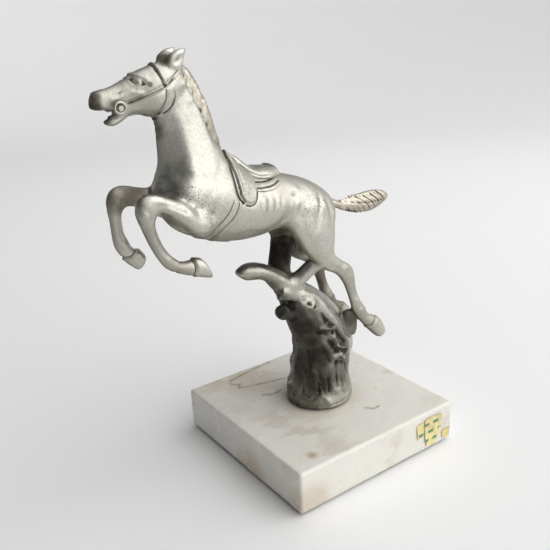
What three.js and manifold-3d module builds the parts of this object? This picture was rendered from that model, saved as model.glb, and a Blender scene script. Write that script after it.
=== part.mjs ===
// A leaping-horse hood ornament on a tree stump, mounted as a trophy on a square marble slab.
// Millimetres. The origin is the centre of the felt's underside, +Z is up, the horse leaps towards -Y,
// and its left side, called near here as horsemen do, is on +X. Its right side is called off.
import * as THREE from "three";
import { mergeVertices } from "three/addons/utils/BufferGeometryUtils.js";
import Module from "manifold-3d";

const wasm = await Module();
wasm.setup();

// ---- driving dimensions ---------------------------------------------------------------------------
const GAP = 0.3; // clearance between pieces that touch on the real object
const OVERSHOOT = 1; // how far a cutting tool runs past the face that it cuts

const SLAB_SIDE = 76.2;
const FELT_THICKNESS = 1.2;
const FELT_INSET = 1.5;
const SLAB_THICKNESS = 16.5;
const SLAB_EDGE = 0.7; // worn edge of the marble
const SLAB_TOP = FELT_THICKNESS + SLAB_THICKNESS;

const STUD_RADIUS = 3.175;
const STUD_HOLE_RADIUS = 3.75;
const COUNTERBORE_RADIUS = 9.5;
const COUNTERBORE_TOP = 12.0;
const STUD_DEPTH_IN_STUMP = 12.0;
const WASHER_RADIUS = 7.9;
const WASHER_THICKNESS = 1.6;
const LOCK_WASHER_RADIUS = 6.2;
const STUD_PAST_NUT = 0.4;
const NUT_RADIUS = 6.4; // across corners, halved
const NUT_THICKNESS = 5.56;

const STRAP_WIDTH = 1.1;
const STRAP_RISE = 0.85; // how far a strap stands off the hide it lies on
const SADDLE_RISE = 1.3;
const BIT_RING_RADIUS = 1.5;
const BIT_RING_WIRE = 0.48;
const BIT_BAR_RADIUS = 0.62;
const BIT_PLACE = [-72.7, 142.0];
const BIT_RING_SIDE = 4.5; // how far the bit rings lie from the middle plane

// ---- solids ---------------------------------------------------------------------------------------
function solid(geometry) {
  const plain = geometry.clone();
  plain.deleteAttribute("normal");
  plain.deleteAttribute("uv");
  const merged = mergeVertices(plain, 1e-4);
  return new wasm.Manifold(
    new wasm.Mesh({
      numProp: 3,
      vertProperties: merged.attributes.position.array,
      triVerts: new Uint32Array(merged.index.array),
    }),
  );
}

function geometryOf(manifold) {
  const mesh = manifold.getMesh();
  const geometry = new THREE.BufferGeometry();
  geometry.setAttribute("position", new THREE.BufferAttribute(mesh.vertProperties, 3));
  geometry.setIndex(new THREE.BufferAttribute(mesh.triVerts, 1));
  geometry.computeVertexNormals();
  return geometry;
}

function largest(manifold) {
  const bodies = manifold.decompose();
  return bodies.reduce((best, body) => (body.volume() > best.volume() ? body : best));
}

const join = (...pieces) => pieces.reduce((whole, piece) => whole.add(piece));
const cut = (whole, ...tools) => largest(tools.reduce((rest, tool) => rest.subtract(tool), whole));

// ---- lofts ----------------------------------------------------------------------------------------
// A section lies across the animal or the trunk: its two outline points in the YZ plane, its half-width
// along X, the X of its middle, and a power that is 2 for an ellipse and more for a boxier form.
const section = (first, second, half, side = 0, power = 2) => ({ first, second, half, side, power });

const CAP_STEPS = 3;

function loft(sections, { sides = 14, steps = 3, grow = 0, startDome = 0.5, endDome = 0.5 } = {}) {
  const through = (pick) => new THREE.CatmullRomCurve3(sections.map(pick));
  const firstLine = through((s) => new THREE.Vector3(s.side, ...s.first));
  const secondLine = through((s) => new THREE.Vector3(s.side, ...s.second));
  const shapeLine = through((s) => new THREE.Vector3(s.half, s.power, 0));
  const count = (sections.length - 1) * steps + 1;
  const frames = Array.from({ length: count }, (_, i) => {
    const t = i / (count - 1);
    const a = firstLine.getPoint(t);
    const b = secondLine.getPoint(t);
    const shape = shapeLine.getPoint(t);
    return {
      centre: a.clone().add(b).multiplyScalar(0.5),
      arm: a.clone().sub(b).multiplyScalar(0.5),
      half: shape.x,
      power: shape.y,
    };
  });
  const outward = (from, to) => from.centre.clone().sub(to.centre).normalize();
  const capped = (frame, direction, dome) =>
    Array.from({ length: CAP_STEPS }, (_, k) => {
      const angle = ((k + 1) / CAP_STEPS) * (Math.PI / 2);
      const depth = dome * Math.min(frame.half, frame.arm.length()) + grow;
      const shrink = Math.cos(angle);
      return {
        centre: frame.centre.clone().addScaledVector(direction, depth * Math.sin(angle)),
        arm: frame.arm.clone().multiplyScalar(shrink),
        half: frame.half * shrink,
        power: frame.power,
        swell: shrink,
      };
    });
  const startCap = capped(frames[0], outward(frames[0], frames[1]), startDome).reverse();
  const endCap = capped(frames[count - 1], outward(frames[count - 1], frames[count - 2]), endDome);
  const rows = [...startCap, ...frames, ...endCap];
  const positions = [];
  const pole = (row) => positions.push(...row.centre.toArray());
  pole(rows[0]);
  for (const row of rows.slice(1, -1)) {
    const swell = grow * (row.swell ?? 1);
    const arm = row.arm.clone().setLength(row.arm.length() + swell);
    const half = row.half + swell;
    for (let j = 0; j < sides; j++) {
      const angle = (j / sides) * 2 * Math.PI;
      const soften = (value) => Math.sign(value) * Math.abs(value) ** (2 / row.power);
      const point = row.centre.clone().addScaledVector(arm, soften(Math.cos(angle)));
      point.x += half * soften(Math.sin(angle));
      positions.push(...point.toArray());
    }
  }
  pole(rows[rows.length - 1]);
  const rings = rows.length - 2;
  const last = 1 + rings * sides;
  const index = [];
  for (let j = 0; j < sides; j++) {
    const k = (j + 1) % sides;
    index.push(0, 1 + k, 1 + j);
    index.push(last, last - sides + j, last - sides + k);
    for (let i = 0; i < rings - 1; i++) {
      const here = 1 + i * sides;
      const next = here + sides;
      index.push(here + j, here + k, next + j);
      index.push(here + k, next + k, next + j);
    }
  }
  const geometry = new THREE.BufferGeometry();
  geometry.setAttribute("position", new THREE.Float32BufferAttribute(positions, 3));
  geometry.setIndex(index);
  const made = solid(geometry);
  if (made.volume() > 0) return made;
  geometry.setIndex(index.reverse());
  return solid(geometry);
}

// A prism whose outline is drawn in the YZ plane and which runs along X.
function sidePrism(outline, fromX, toX) {
  const shape = new THREE.Shape(outline.map(([y, z]) => new THREE.Vector2(y, z)));
  const geometry = new THREE.ExtrudeGeometry(shape, { depth: toX - fromX, bevelEnabled: false });
  const axes = new THREE.Matrix4().makeBasis(
    new THREE.Vector3(0, 1, 0),
    new THREE.Vector3(0, 0, 1),
    new THREE.Vector3(1, 0, 0),
  );
  return solid(geometry.applyMatrix4(axes).translate(fromX, 0, 0));
}

// The outline of a band of even width along a line of points in the YZ plane.
function bandOutline(line, width) {
  const points = line.map(([y, z]) => new THREE.Vector2(y, z));
  const edge = (sign) =>
    points.map((point, i) => {
      const before = points[Math.max(i - 1, 0)];
      const after = points[Math.min(i + 1, points.length - 1)];
      const along = after.clone().sub(before).normalize();
      return [point.x - sign * along.y * (width / 2), point.y + sign * along.x * (width / 2)];
    });
  return [...edge(1), ...edge(-1).reverse()];
}

// A round bar between two points.
function bar(from, to, radius, sides = 12) {
  const start = new THREE.Vector3(...from);
  const end = new THREE.Vector3(...to);
  const geometry = new THREE.CylinderGeometry(radius, radius, start.distanceTo(end), sides);
  const along = end.clone().sub(start).normalize();
  const turn = new THREE.Quaternion().setFromUnitVectors(new THREE.Vector3(0, 1, 0), along);
  geometry.applyQuaternion(turn);
  geometry.translate(...start.add(end).multiplyScalar(0.5).toArray());
  return solid(geometry);
}

const post = (x, y, fromZ, toZ, radius, sides = 32) => bar([x, y, fromZ], [x, y, toZ], radius, sides);

// ---- the horse's castings -------------------------------------------------------------------------
// Sections run from the chest to the rump, upper point first.
const TORSO = [
  section([-61.2, 115.6], [-61.2, 110.0], 5.0),
  section([-58.8, 120.0], [-59.6, 104.4], 9.6),
  section([-54.0, 124.0], [-56.5, 100.2], 12.2),
  section([-44.0, 123.5], [-49.5, 96.6], 13.0),
  section([-35.5, 120.8], [-42.0, 93.8], 12.8),
  section([-28.5, 115.6], [-34.0, 92.3], 12.2),
  section([-20.5, 114.2], [-26.0, 92.4], 12.0),
  section([-12.5, 112.2], [-18.5, 93.6], 11.6),
  section([-5.0, 109.6], [-12.0, 94.0], 11.4),
  section([1.0, 106.2], [-5.0, 92.0], 10.8),
  section([5.4, 102.4], [1.5, 88.0], 9.0),
  section([7.3, 98.5], [6.2, 89.0], 5.2),
];

// Front of the throat first, then the crest.
const NECK = [
  section([-60.8, 140.0], [-49.0, 150.2], 4.3),
  section([-60.3, 134.0], [-45.4, 145.4], 4.9),
  section([-60.2, 128.0], [-42.8, 140.0], 5.8),
  section([-60.2, 123.0], [-40.8, 132.5], 7.2),
  section([-61.0, 118.0], [-38.6, 126.2], 9.0),
  section([-61.0, 111.0], [-35.0, 119.0], 11.2),
];

// Muzzle to poll, bridge of the nose first.
const HEAD = [
  section([-79.4, 145.8], [-79.8, 141.3], 2.4, 0, 2.6),
  section([-78.6, 146.8], [-78.8, 140.9], 3.1, 0, 2.6),
  section([-76.3, 147.4], [-76.0, 140.8], 3.3, 0, 2.4),
  section([-73.0, 148.3], [-72.5, 139.4], 3.3),
  section([-69.5, 149.6], [-69.5, 138.5], 3.7),
  section([-65.1, 151.5], [-66.0, 138.8], 4.7),
  section([-60.8, 152.9], [-62.5, 138.0], 5.5),
  section([-57.0, 153.6], [-59.0, 137.7], 5.8),
  section([-52.8, 153.2], [-55.0, 139.2], 5.3),
  section([-49.4, 151.4], [-51.2, 142.0], 4.1),
];

const LOWER_JAW = [
  section([-68.5, 141.2], [-69.5, 138.5], 2.6),
  section([-72.0, 139.9], [-71.7, 137.1], 2.6),
  section([-75.0, 138.9], [-74.3, 136.3], 2.4),
  section([-76.7, 138.4], [-76.3, 137.0], 1.7),
];

// The mane's crest line first, then its roots in the neck.
const MANE = [
  section([-48.8, 151.8], [-52.0, 150.0], 1.6, 0.4),
  section([-46.4, 148.5], [-50.4, 145.8], 2.0, 0.6),
  section([-43.6, 142.6], [-48.0, 140.2], 2.4, 0.8),
  section([-41.6, 137.0], [-46.2, 134.6], 2.6, 0.9),
  section([-39.9, 130.6], [-44.6, 128.4], 2.6, 0.9),
  section([-37.6, 125.0], [-41.6, 122.8], 2.0, 0.6),
];

const NEAR_EAR = [
  section([-56.4, 152.6], [-50.9, 150.4], 1.7, 3.0),
  section([-55.8, 154.6], [-50.3, 152.6], 1.8, 3.2),
  section([-54.0, 156.2], [-49.8, 154.6], 1.5, 3.4),
  section([-51.6, 157.0], [-49.3, 156.0], 0.9, 3.5),
  section([-49.6, 157.1], [-49.0, 156.8], 0.35, 3.5),
];

// Shoulder, knee, fetlock and hoof, front edge first.
const NEAR_FORELEG = [
  section([-49.0, 108.0], [-49.0, 99.5], 3.0, 9.0),
  section([-53.8, 110.0], [-54.2, 99.8], 4.4, 10.2),
  section([-58.7, 112.2], [-58.5, 103.0], 4.2, 10.8),
  section([-63.7, 114.8], [-63.0, 107.6], 3.3, 10.8),
  section([-68.6, 116.9], [-66.6, 110.8], 2.8, 10.4),
  section([-73.0, 116.0], [-68.2, 109.0], 2.7, 10.0),
  section([-74.4, 112.0], [-68.4, 106.6], 2.5, 9.8),
  section([-73.0, 106.5], [-68.0, 104.6], 2.1, 9.7),
  section([-71.0, 100.8], [-66.6, 100.6], 1.8, 9.6),
  section([-68.8, 96.0], [-64.6, 97.0], 1.8, 9.6),
  section([-66.1, 92.0], [-62.2, 94.4], 2.2, 9.6),
  section([-62.2, 89.6], [-60.0, 93.2], 1.9, 9.6),
  section([-58.4, 87.9], [-57.4, 93.2], 2.5, 9.6),
  section([-54.5, 86.4], [-55.6, 93.6], 3.0, 9.6, 2.3),
  section([-49.8, 84.9], [-53.6, 92.9], 3.2, 9.6, 2.3),
];

const OFF_FORELEG = [
  section([-51.0, 111.0], [-50.0, 101.0], 3.0, -9.0),
  section([-58.3, 112.8], [-56.5, 102.5], 4.2, -10.2),
  section([-64.0, 114.6], [-62.5, 106.4], 3.3, -10.6),
  section([-69.4, 116.2], [-67.2, 108.8], 2.8, -10.4),
  section([-73.4, 115.2], [-69.4, 108.4], 2.7, -10.0),
  section([-75.3, 111.5], [-70.6, 106.6], 2.5, -9.8),
  section([-75.0, 105.0], [-70.7, 104.0], 2.0, -9.7),
  section([-75.0, 100.4], [-70.5, 100.5], 1.8, -9.6),
  section([-74.6, 96.6], [-69.3, 97.8], 2.1, -9.6),
  section([-73.0, 93.2], [-68.3, 95.2], 2.1, -9.6),
  section([-71.0, 90.0], [-65.6, 93.8], 2.7, -9.6),
  section([-67.4, 86.7], [-64.0, 91.4], 3.0, -9.6, 2.3),
];

// Hip, stifle, hock, fetlock and hoof, front edge first.
const HINDLEG = [
  section([-13.0, 105.5], [-0.6, 103.0], 4.0, 6.4),
  section([-16.6, 102.5], [2.2, 98.5], 4.8, 7.4),
  section([-18.2, 98.6], [3.4, 93.0], 4.9, 8.2),
  section([-17.2, 94.0], [3.2, 88.0], 4.7, 8.8),
  section([-14.6, 89.5], [2.6, 83.8], 4.2, 9.0),
  section([-11.4, 84.4], [2.8, 80.8], 3.6, 9.0),
  section([-7.0, 79.2], [5.0, 78.6], 2.9, 9.0),
  section([-2.4, 75.4], [8.6, 75.8], 2.5, 9.0),
  section([2.2, 73.0], [11.0, 74.0], 2.4, 9.0),
  section([5.3, 70.2], [12.4, 70.6], 2.3, 9.0),
  section([7.8, 66.0], [12.7, 66.5], 2.0, 9.0),
  section([9.5, 61.5], [13.9, 62.0], 1.8, 9.0),
  section([10.7, 57.6], [16.2, 57.6], 1.9, 9.0),
  section([12.2, 53.4], [18.3, 54.6], 2.2, 9.0),
  section([14.8, 50.2], [19.4, 52.0], 2.0, 9.0),
  section([16.6, 47.8], [22.4, 50.4], 2.6, 9.0),
  section([20.2, 43.8], [26.2, 47.4], 3.1, 9.0, 2.3),
  section([24.8, 39.4], [28.2, 43.0], 3.0, 9.0, 2.3),
];
const OFF_HINDLEG_SHIFT = [-1.6, 0.6]; // how far the off hind foot stands forward and above the near one
const HOCK_SECTION = 8; // the shift grows from the hock down

const TAIL = [
  section([4.4, 102.6], [5.4, 95.6], 1.6),
  section([8.4, 100.4], [9.2, 95.6], 1.8),
  section([14.6, 98.9], [13.6, 93.4], 2.2),
  section([21.7, 98.3], [20.0, 91.0], 2.8),
  section([30.0, 98.6], [27.2, 89.6], 3.1),
  section([35.6, 97.4], [33.4, 91.2], 2.5),
  section([38.6, 95.2], [37.4, 93.4], 1.0),
];

const offSide = (sections) => sections.map((s) => ({ ...s, side: -s.side }));

const offHindleg = offSide(HINDLEG).map((s, i) => {
  const share = Math.max(0, i - HOCK_SECTION) / (HINDLEG.length - 1 - HOCK_SECTION);
  const shifted = ([y, z]) => [y + share * OFF_HINDLEG_SHIFT[0], z + share * OFF_HINDLEG_SHIFT[1]];
  return { ...s, first: shifted(s.first), second: shifted(s.second) };
});

const torso = (grow = 0) =>
  loft(TORSO, { sides: 20, steps: 2, grow, startDome: 0.7, endDome: 0.6 });
const skull = (grow = 0) =>
  join(
    loft(HEAD, { sides: 16, steps: 2, grow, startDome: 0.15 }),
    loft(LOWER_JAW, { sides: 10, steps: 2, grow, endDome: 0.7 }),
  );
const headAndNeck = (grow = 0) => skull(grow).add(loft(NECK, { sides: 16, steps: 2, grow }));
const maneRidge = (grow = 0) => loft(MANE, { sides: 8, steps: 2, grow });
const ear = (sections, grow = 0) => loft(sections, { sides: 8, steps: 2, grow });
const leg = (sections, grow = 0) => loft(sections, { sides: 12, steps: 2, grow, endDome: 0.12 });
const tail = (grow = 0) => loft(TAIL, { sides: 10, grow });

// ---- the tree stump -------------------------------------------------------------------------------
const FOOT = SLAB_TOP + GAP;

// From the foot up, back edge first.
const TRUNK = [
  section([15.0, FOOT], [-12.2, FOOT], 13.3),
  section([15.2, 20.0], [-12.6, 20.0], 13.4),
  section([14.4, 24.0], [-11.8, 24.0], 12.2),
  section([14.2, 30.0], [-10.6, 30.0], 11.2),
  section([15.0, 36.0], [-9.4, 36.0], 10.6),
  section([15.4, 42.0], [-9.0, 42.0], 10.2),
  section([13.6, 48.5], [-9.8, 48.0], 9.8),
  section([9.6, 55.5], [-12.2, 54.0], 9.2),
  section([4.4, 61.5], [-14.8, 60.0], 8.4),
  section([-2.0, 67.0], [-17.4, 65.5], 7.4),
  section([-8.0, 71.0], [-19.0, 69.5], 5.6),
];

// The broken top log, from the tip of its branch over the top and down the back.
const TOP_LOG = [
  section([-34.2, 80.9], [-33.9, 78.3], 2.4),
  section([-31.0, 82.4], [-31.2, 76.2], 3.6),
  section([-26.0, 81.9], [-26.2, 75.6], 4.2),
  section([-20.3, 79.4], [-22.2, 73.2], 5.0),
  section([-13.4, 75.0], [-17.0, 66.4], 6.2),
  section([-6.2, 69.4], [-11.0, 59.4], 6.9),
  section([1.8, 62.9], [-5.0, 53.4], 7.2),
  section([7.8, 57.2], [0.0, 47.8], 7.2),
  section([13.4, 50.2], [5.0, 42.4], 6.7),
  section([16.8, 44.3], [8.0, 37.4], 6.0),
  section([17.8, 38.6], [10.0, 33.4], 5.0),
];

// Broken stubs of side branches: where each starts inside the trunk, where it ends, and its radius.
const STUBS = [
  { from: [2.5, -12.0, 66.5], to: [4.0, -20.0, 69.4], radius: 3.2 },
  { from: [1.0, -10.0, 58.0], to: [2.5, -18.4, 61.2], radius: 3.0 },
  { from: [4.0, 2.0, 40.4], to: [11.4, 5.6, 38.0], radius: 1.9 },
];

const stump = (grow = 0) =>
  join(
    loft(TRUNK, { sides: 20, steps: 2, grow, startDome: 0, endDome: 0.4 }),
    loft(TOP_LOG, { sides: 14, steps: 2, grow, startDome: 0.7, endDome: 0.8 }),
    ...STUBS.map((stub) => bar(stub.from, stub.to, stub.radius + grow, 9)),
  );

// ---- saddle, girth and bridle ---------------------------------------------------------------------
const SEAT = [
  section([-36.6, 124.0], [-37.4, 118.4], 3.4, 0, 2.4),
  section([-33.4, 121.8], [-34.4, 116.4], 5.0, 0, 2.4),
  section([-28.6, 117.9], [-29.4, 112.6], 7.0, 0, 2.4),
  section([-23.4, 116.6], [-23.4, 111.4], 7.2, 0, 2.4),
  section([-19.2, 116.0], [-18.8, 110.6], 5.8, 0, 2.4),
];
const FLAP_OUTLINE = [
  [-38.0, 125.0],
  [-37.8, 120.4],
  [-38.6, 115.0],
  [-38.5, 111.2],
  [-37.0, 108.6],
  [-34.8, 107.7],
  [-32.8, 108.3],
  [-31.2, 110.9],
  [-29.6, 115.4],
  [-28.4, 119.5],
  [-31.0, 123.4],
];
const CLOTH_OUTLINE = [
  [-28.0, 121.0],
  [-29.0, 115.0],
  [-30.4, 112.0],
  [-30.4, 110.6],
  [-24.0, 109.8],
  [-19.2, 110.6],
  [-18.2, 114.0],
  [-20.0, 121.0],
];
const GIRTH_OUTLINE = [
  [-41.6, 109.4],
  [-44.2, 104.6],
  [-47.2, 99.6],
  [-49.6, 92.0],
  [-38.8, 88.0],
  [-38.4, 98.6],
  [-36.2, 102.6],
  [-35.0, 107.0],
];
const FLAP_INNER_SIDE = 3.4;
const REACH = 20; // past the flanks

const CHEEK_STRAP_LINE = [
  [-70.6, 142.6],
  [-64.6, 144.6],
  [-58.6, 146.5],
  [-52.4, 150.4],
];
const BROWBAND_LINE = [
  [-58.2, 147.8],
  [-59.2, 150.6],
  [-59.8, 156.0],
];
const THROAT_LASH_LINE = [
  [-57.6, 145.4],
  [-58.0, 142.6],
  [-59.6, 139.6],
  [-60.8, 136.4],
];

const clearTorso = torso(GAP);
const seatBlank = (grow = 0) => loft(SEAT, { sides: 14, steps: 2, grow });
const seat = cut(seatBlank(), clearTorso);

// A piece of tack that lies on a hide: a skin of even thickness inside an outline.
const skinOn = (hide, rise, outline, fromX, toX) =>
  hide(rise).intersect(sidePrism(outline, fromX, toX)).subtract(hide(GAP));

const flap = (outlineSide) => {
  const reach = outlineSide > 0 ? [FLAP_INNER_SIDE, REACH] : [-REACH, -FLAP_INNER_SIDE];
  const skin = skinOn(torso, SADDLE_RISE, FLAP_OUTLINE, ...reach);
  return cut(skin, seatBlank(GAP), headAndNeck(GAP));
};
const saddleCloth = (outlineSide) => {
  const reach = outlineSide > 0 ? [0, REACH] : [-REACH, 0];
  return cut(skinOn(torso, STRAP_RISE, CLOTH_OUTLINE, ...reach), seatBlank(GAP));
};
const girth = cut(skinOn(torso, STRAP_RISE, GIRTH_OUTLINE, -REACH, REACH));

const strap = (line, fromX, toX) =>
  largest(skinOn(headAndNeck, STRAP_RISE, bandOutline(line, STRAP_WIDTH), fromX, toX));
const cheekStrap = (side) =>
  side > 0 ? strap(CHEEK_STRAP_LINE, 1, REACH) : strap(CHEEK_STRAP_LINE, -REACH, -1);
const earClearance = join(ear(NEAR_EAR, GAP), ear(offSide(NEAR_EAR), GAP));

const bitBar = (grow = 0) => {
  const reach = BIT_RING_SIDE + BIT_RING_WIRE + grow;
  return bar([-reach, ...BIT_PLACE], [reach, ...BIT_PLACE], BIT_BAR_RADIUS + grow, 10);
};
const bitRing = (side) => {
  const geometry = new THREE.TorusGeometry(BIT_RING_RADIUS, BIT_RING_WIRE, 8, 20);
  geometry.rotateY(Math.PI / 2);
  return geometry.translate(side * BIT_RING_SIDE, ...BIT_PLACE);
};

// ---- supports between the horse and the stump -----------------------------------------------------
const NEAR_STRUT = { from: [8.0, -2.6, 80.2], to: [3.6, -11.4, 71.8], radius: 1.8 };
const OFF_STRUT = { from: [-8.8, -8.2, 83.0], to: [-4.2, -13.6, 74.0], radius: 2.7 };
const WEB_OUTLINE = [
  [8.2, 54.8],
  [12.6, 55.6],
  [14.8, 50.6],
  [14.8, 46.4],
  [13.6, 42.4],
  [8.0, 47.0],
];
const WEB_SIDE = [5.4, 9.0];

// ---- fixing, slab, felt and label remains ---------------------------------------------------------
const slab = () => {
  const half = SLAB_SIDE / 2 - SLAB_EDGE;
  const shape = new THREE.Shape([
    new THREE.Vector2(-half, -half),
    new THREE.Vector2(half, -half),
    new THREE.Vector2(half, half),
    new THREE.Vector2(-half, half),
  ]);
  const geometry = new THREE.ExtrudeGeometry(shape, {
    depth: SLAB_THICKNESS - 2 * SLAB_EDGE,
    bevelSize: SLAB_EDGE,
    bevelThickness: SLAB_EDGE,
    bevelSegments: 2,
  });
  geometry.translate(0, 0, FELT_THICKNESS + SLAB_EDGE);
  return cut(
    solid(geometry),
    post(0, 0, 0, SLAB_TOP + OVERSHOOT, STUD_HOLE_RADIUS),
    post(0, 0, 0, COUNTERBORE_TOP, COUNTERBORE_RADIUS),
  );
};

const feltPad = () => {
  const side = SLAB_SIDE - 2 * FELT_INSET;
  const thickness = FELT_THICKNESS - GAP;
  return new THREE.BoxGeometry(side, side, thickness).translate(0, 0, thickness / 2);
};

// A flat ring about the stud, as a lathe profile that closes on itself.
function ringWasher(outer, bottom, sides = 32) {
  const inner = STUD_RADIUS + GAP;
  const top = bottom + WASHER_THICKNESS;
  const profile = [
    new THREE.Vector2(inner, bottom),
    new THREE.Vector2(outer, bottom),
    new THREE.Vector2(outer, top),
    new THREE.Vector2(inner, top),
    new THREE.Vector2(inner, bottom),
  ];
  return new THREE.LatheGeometry(profile, sides).rotateX(Math.PI / 2);
}

const FLAT_WASHER_BOTTOM = COUNTERBORE_TOP - GAP - WASHER_THICKNESS;
const LOCK_WASHER_BOTTOM = FLAT_WASHER_BOTTOM - GAP - WASHER_THICKNESS;
const NUT_TOP = LOCK_WASHER_BOTTOM - GAP;
const NUT_BOTTOM = NUT_TOP - NUT_THICKNESS;
const STUD_BOTTOM = NUT_BOTTOM - STUD_PAST_NUT;
const STUD_TOP = FOOT + STUD_DEPTH_IN_STUMP;

const nut = () =>
  cut(
    post(0, 0, NUT_BOTTOM, NUT_TOP, NUT_RADIUS, 6),
    post(0, 0, NUT_BOTTOM - OVERSHOOT, NUT_TOP + OVERSHOOT, STUD_RADIUS + GAP),
  );

const LABEL_FACE = SLAB_SIDE / 2 + GAP;
const LABEL_THICKNESS = 0.2;
const PRINTED_SCRAP = [
  [22.6, 15.0],
  [25.2, 15.5],
  [31.6, 14.8],
  [31.8, 9.2],
  [29.4, 4.0],
  [27.6, 2.0],
  [24.0, 2.6],
  [22.6, 7.2],
];
const SMALL_SCRAP = [
  [18.0, 14.0],
  [22.0, 14.6],
  [21.9, 8.0],
  [18.8, 7.4],
];
const GLUE_PATCH = [
  [32.4, 6.4],
  [37.2, 6.6],
  [36.4, 2.4],
  [32.8, 2.4],
];
const scrap = (outline) => sidePrism(outline, LABEL_FACE, LABEL_FACE + LABEL_THICKNESS);

// ---- materials ------------------------------------------------------------------------------------
const finish = (color, roughness, metalness) => ({ color, roughness, metalness });
const PLATE = finish(0xb9b6ad, 0.32, 1);
const DARK_PLATE = finish(0x77756e, 0.45, 1);
const BRASSY_PLATE = finish(0xa9a083, 0.4, 1);
const STEEL = finish(0x9a9a98, 0.35, 1);
const MARBLE = finish(0xe6dfd2, 0.3, 0);
const FELT = finish(0x3d4a3c, 0.95, 0);
const PRINTED_PAPER = finish(0xd8d2a0, 0.8, 0);
const GLUE = finish(0xe0d49a, 0.7, 0);

// ---- assembly -------------------------------------------------------------------------------------
const root = new THREE.Group();
const base = new THREE.Group();
const figure = new THREE.Group();
root.add(base, figure);

function place(group, name, shape, look) {
  const geometry = shape.isBufferGeometry ? shape : geometryOf(shape);
  const mesh = new THREE.Mesh(geometry, new THREE.MeshStandardMaterial(look));
  mesh.name = name;
  group.add(mesh);
}

const clearStump = stump(GAP);
const clearGirth = skinOn(torso, STRAP_RISE + GAP, GIRTH_OUTLINE, -REACH, REACH);
const legs = {
  near_foreleg: NEAR_FORELEG,
  off_foreleg: OFF_FORELEG,
  near_hindleg: HINDLEG,
  off_hindleg: offHindleg,
};
const clearLegs = join(...Object.values(legs).map((sections) => leg(sections, GAP)));
const clearHorse = join(clearTorso, clearLegs);
const strutSolid = ({ from, to, radius }) => cut(bar(from, to, radius, 10), clearHorse, clearStump);
const studBore = post(0, 0, FOOT - OVERSHOOT, STUD_TOP + GAP, STUD_RADIUS + GAP, 24);

place(base, "felt_pad", feltPad(), FELT);
place(base, "marble_slab", slab(), MARBLE);
place(base, "flat_washer", ringWasher(WASHER_RADIUS, FLAT_WASHER_BOTTOM), STEEL);
place(base, "printed_label_scrap", scrap(PRINTED_SCRAP), PRINTED_PAPER);
place(base, "small_label_scrap", scrap(SMALL_SCRAP), PRINTED_PAPER);
place(base, "label_glue_patch", scrap(GLUE_PATCH), GLUE);

place(figure, "lock_washer", ringWasher(LOCK_WASHER_RADIUS, LOCK_WASHER_BOTTOM), STEEL);
place(figure, "hex_nut", nut(), STEEL);
place(figure, "mounting_stud", post(0, 0, STUD_BOTTOM, STUD_TOP, STUD_RADIUS, 24), STEEL);
place(figure, "tree_stump", cut(stump(), studBore), DARK_PLATE);

place(figure, "body_casting", torso(), PLATE);
place(
  figure,
  "head_and_neck",
  cut(headAndNeck(), clearTorso, maneRidge(GAP), bitBar(GAP), seatBlank(GAP)),
  PLATE,
);
place(figure, "mane", cut(maneRidge(), clearTorso, seatBlank(GAP)), BRASSY_PLATE);
place(figure, "near_ear", cut(ear(NEAR_EAR), headAndNeck(GAP), maneRidge(GAP)), PLATE);
place(figure, "off_ear", cut(ear(offSide(NEAR_EAR)), headAndNeck(GAP), maneRidge(GAP)), PLATE);
for (const [name, sections] of Object.entries(legs)) {
  place(figure, name, cut(leg(sections), clearTorso, clearGirth, clearStump), PLATE);
}
place(figure, "tail", cut(tail(), clearTorso), BRASSY_PLATE);

place(figure, "saddle_seat", seat, PLATE);
place(figure, "near_saddle_flap", flap(1), PLATE);
place(figure, "off_saddle_flap", flap(-1), PLATE);
place(figure, "near_saddle_cloth", saddleCloth(1), PLATE);
place(figure, "off_saddle_cloth", saddleCloth(-1), PLATE);
place(figure, "girth", girth, PLATE);
place(figure, "near_cheek_strap", cut(cheekStrap(1), earClearance, maneRidge(GAP)), PLATE);
place(figure, "off_cheek_strap", cut(cheekStrap(-1), earClearance, maneRidge(GAP)), PLATE);
place(figure, "browband", strap(BROWBAND_LINE, -REACH, REACH), PLATE);
place(figure, "throat_lash", strap(THROAT_LASH_LINE, -REACH, REACH), PLATE);
place(figure, "bit_bar", bitBar(), PLATE);
place(figure, "near_bit_ring", bitRing(1), PLATE);
place(figure, "off_bit_ring", bitRing(-1), PLATE);

place(figure, "near_support_strut", strutSolid(NEAR_STRUT), PLATE);
place(figure, "off_support_strut", strutSolid(OFF_STRUT), DARK_PLATE);
place(
  figure,
  "fetlock_web",
  cut(sidePrism(WEB_OUTLINE, ...WEB_SIDE), clearLegs, clearStump),
  DARK_PLATE,
);

export default root;
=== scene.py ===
"""Looks for the leaping-horse hood ornament: sculpted castings, worn plate, marble, felt and a torn label."""

import sys
import logging
import math
from dataclasses import dataclass, field
from enum import Enum
from typing import Any, Callable, Iterable, Sequence

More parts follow.
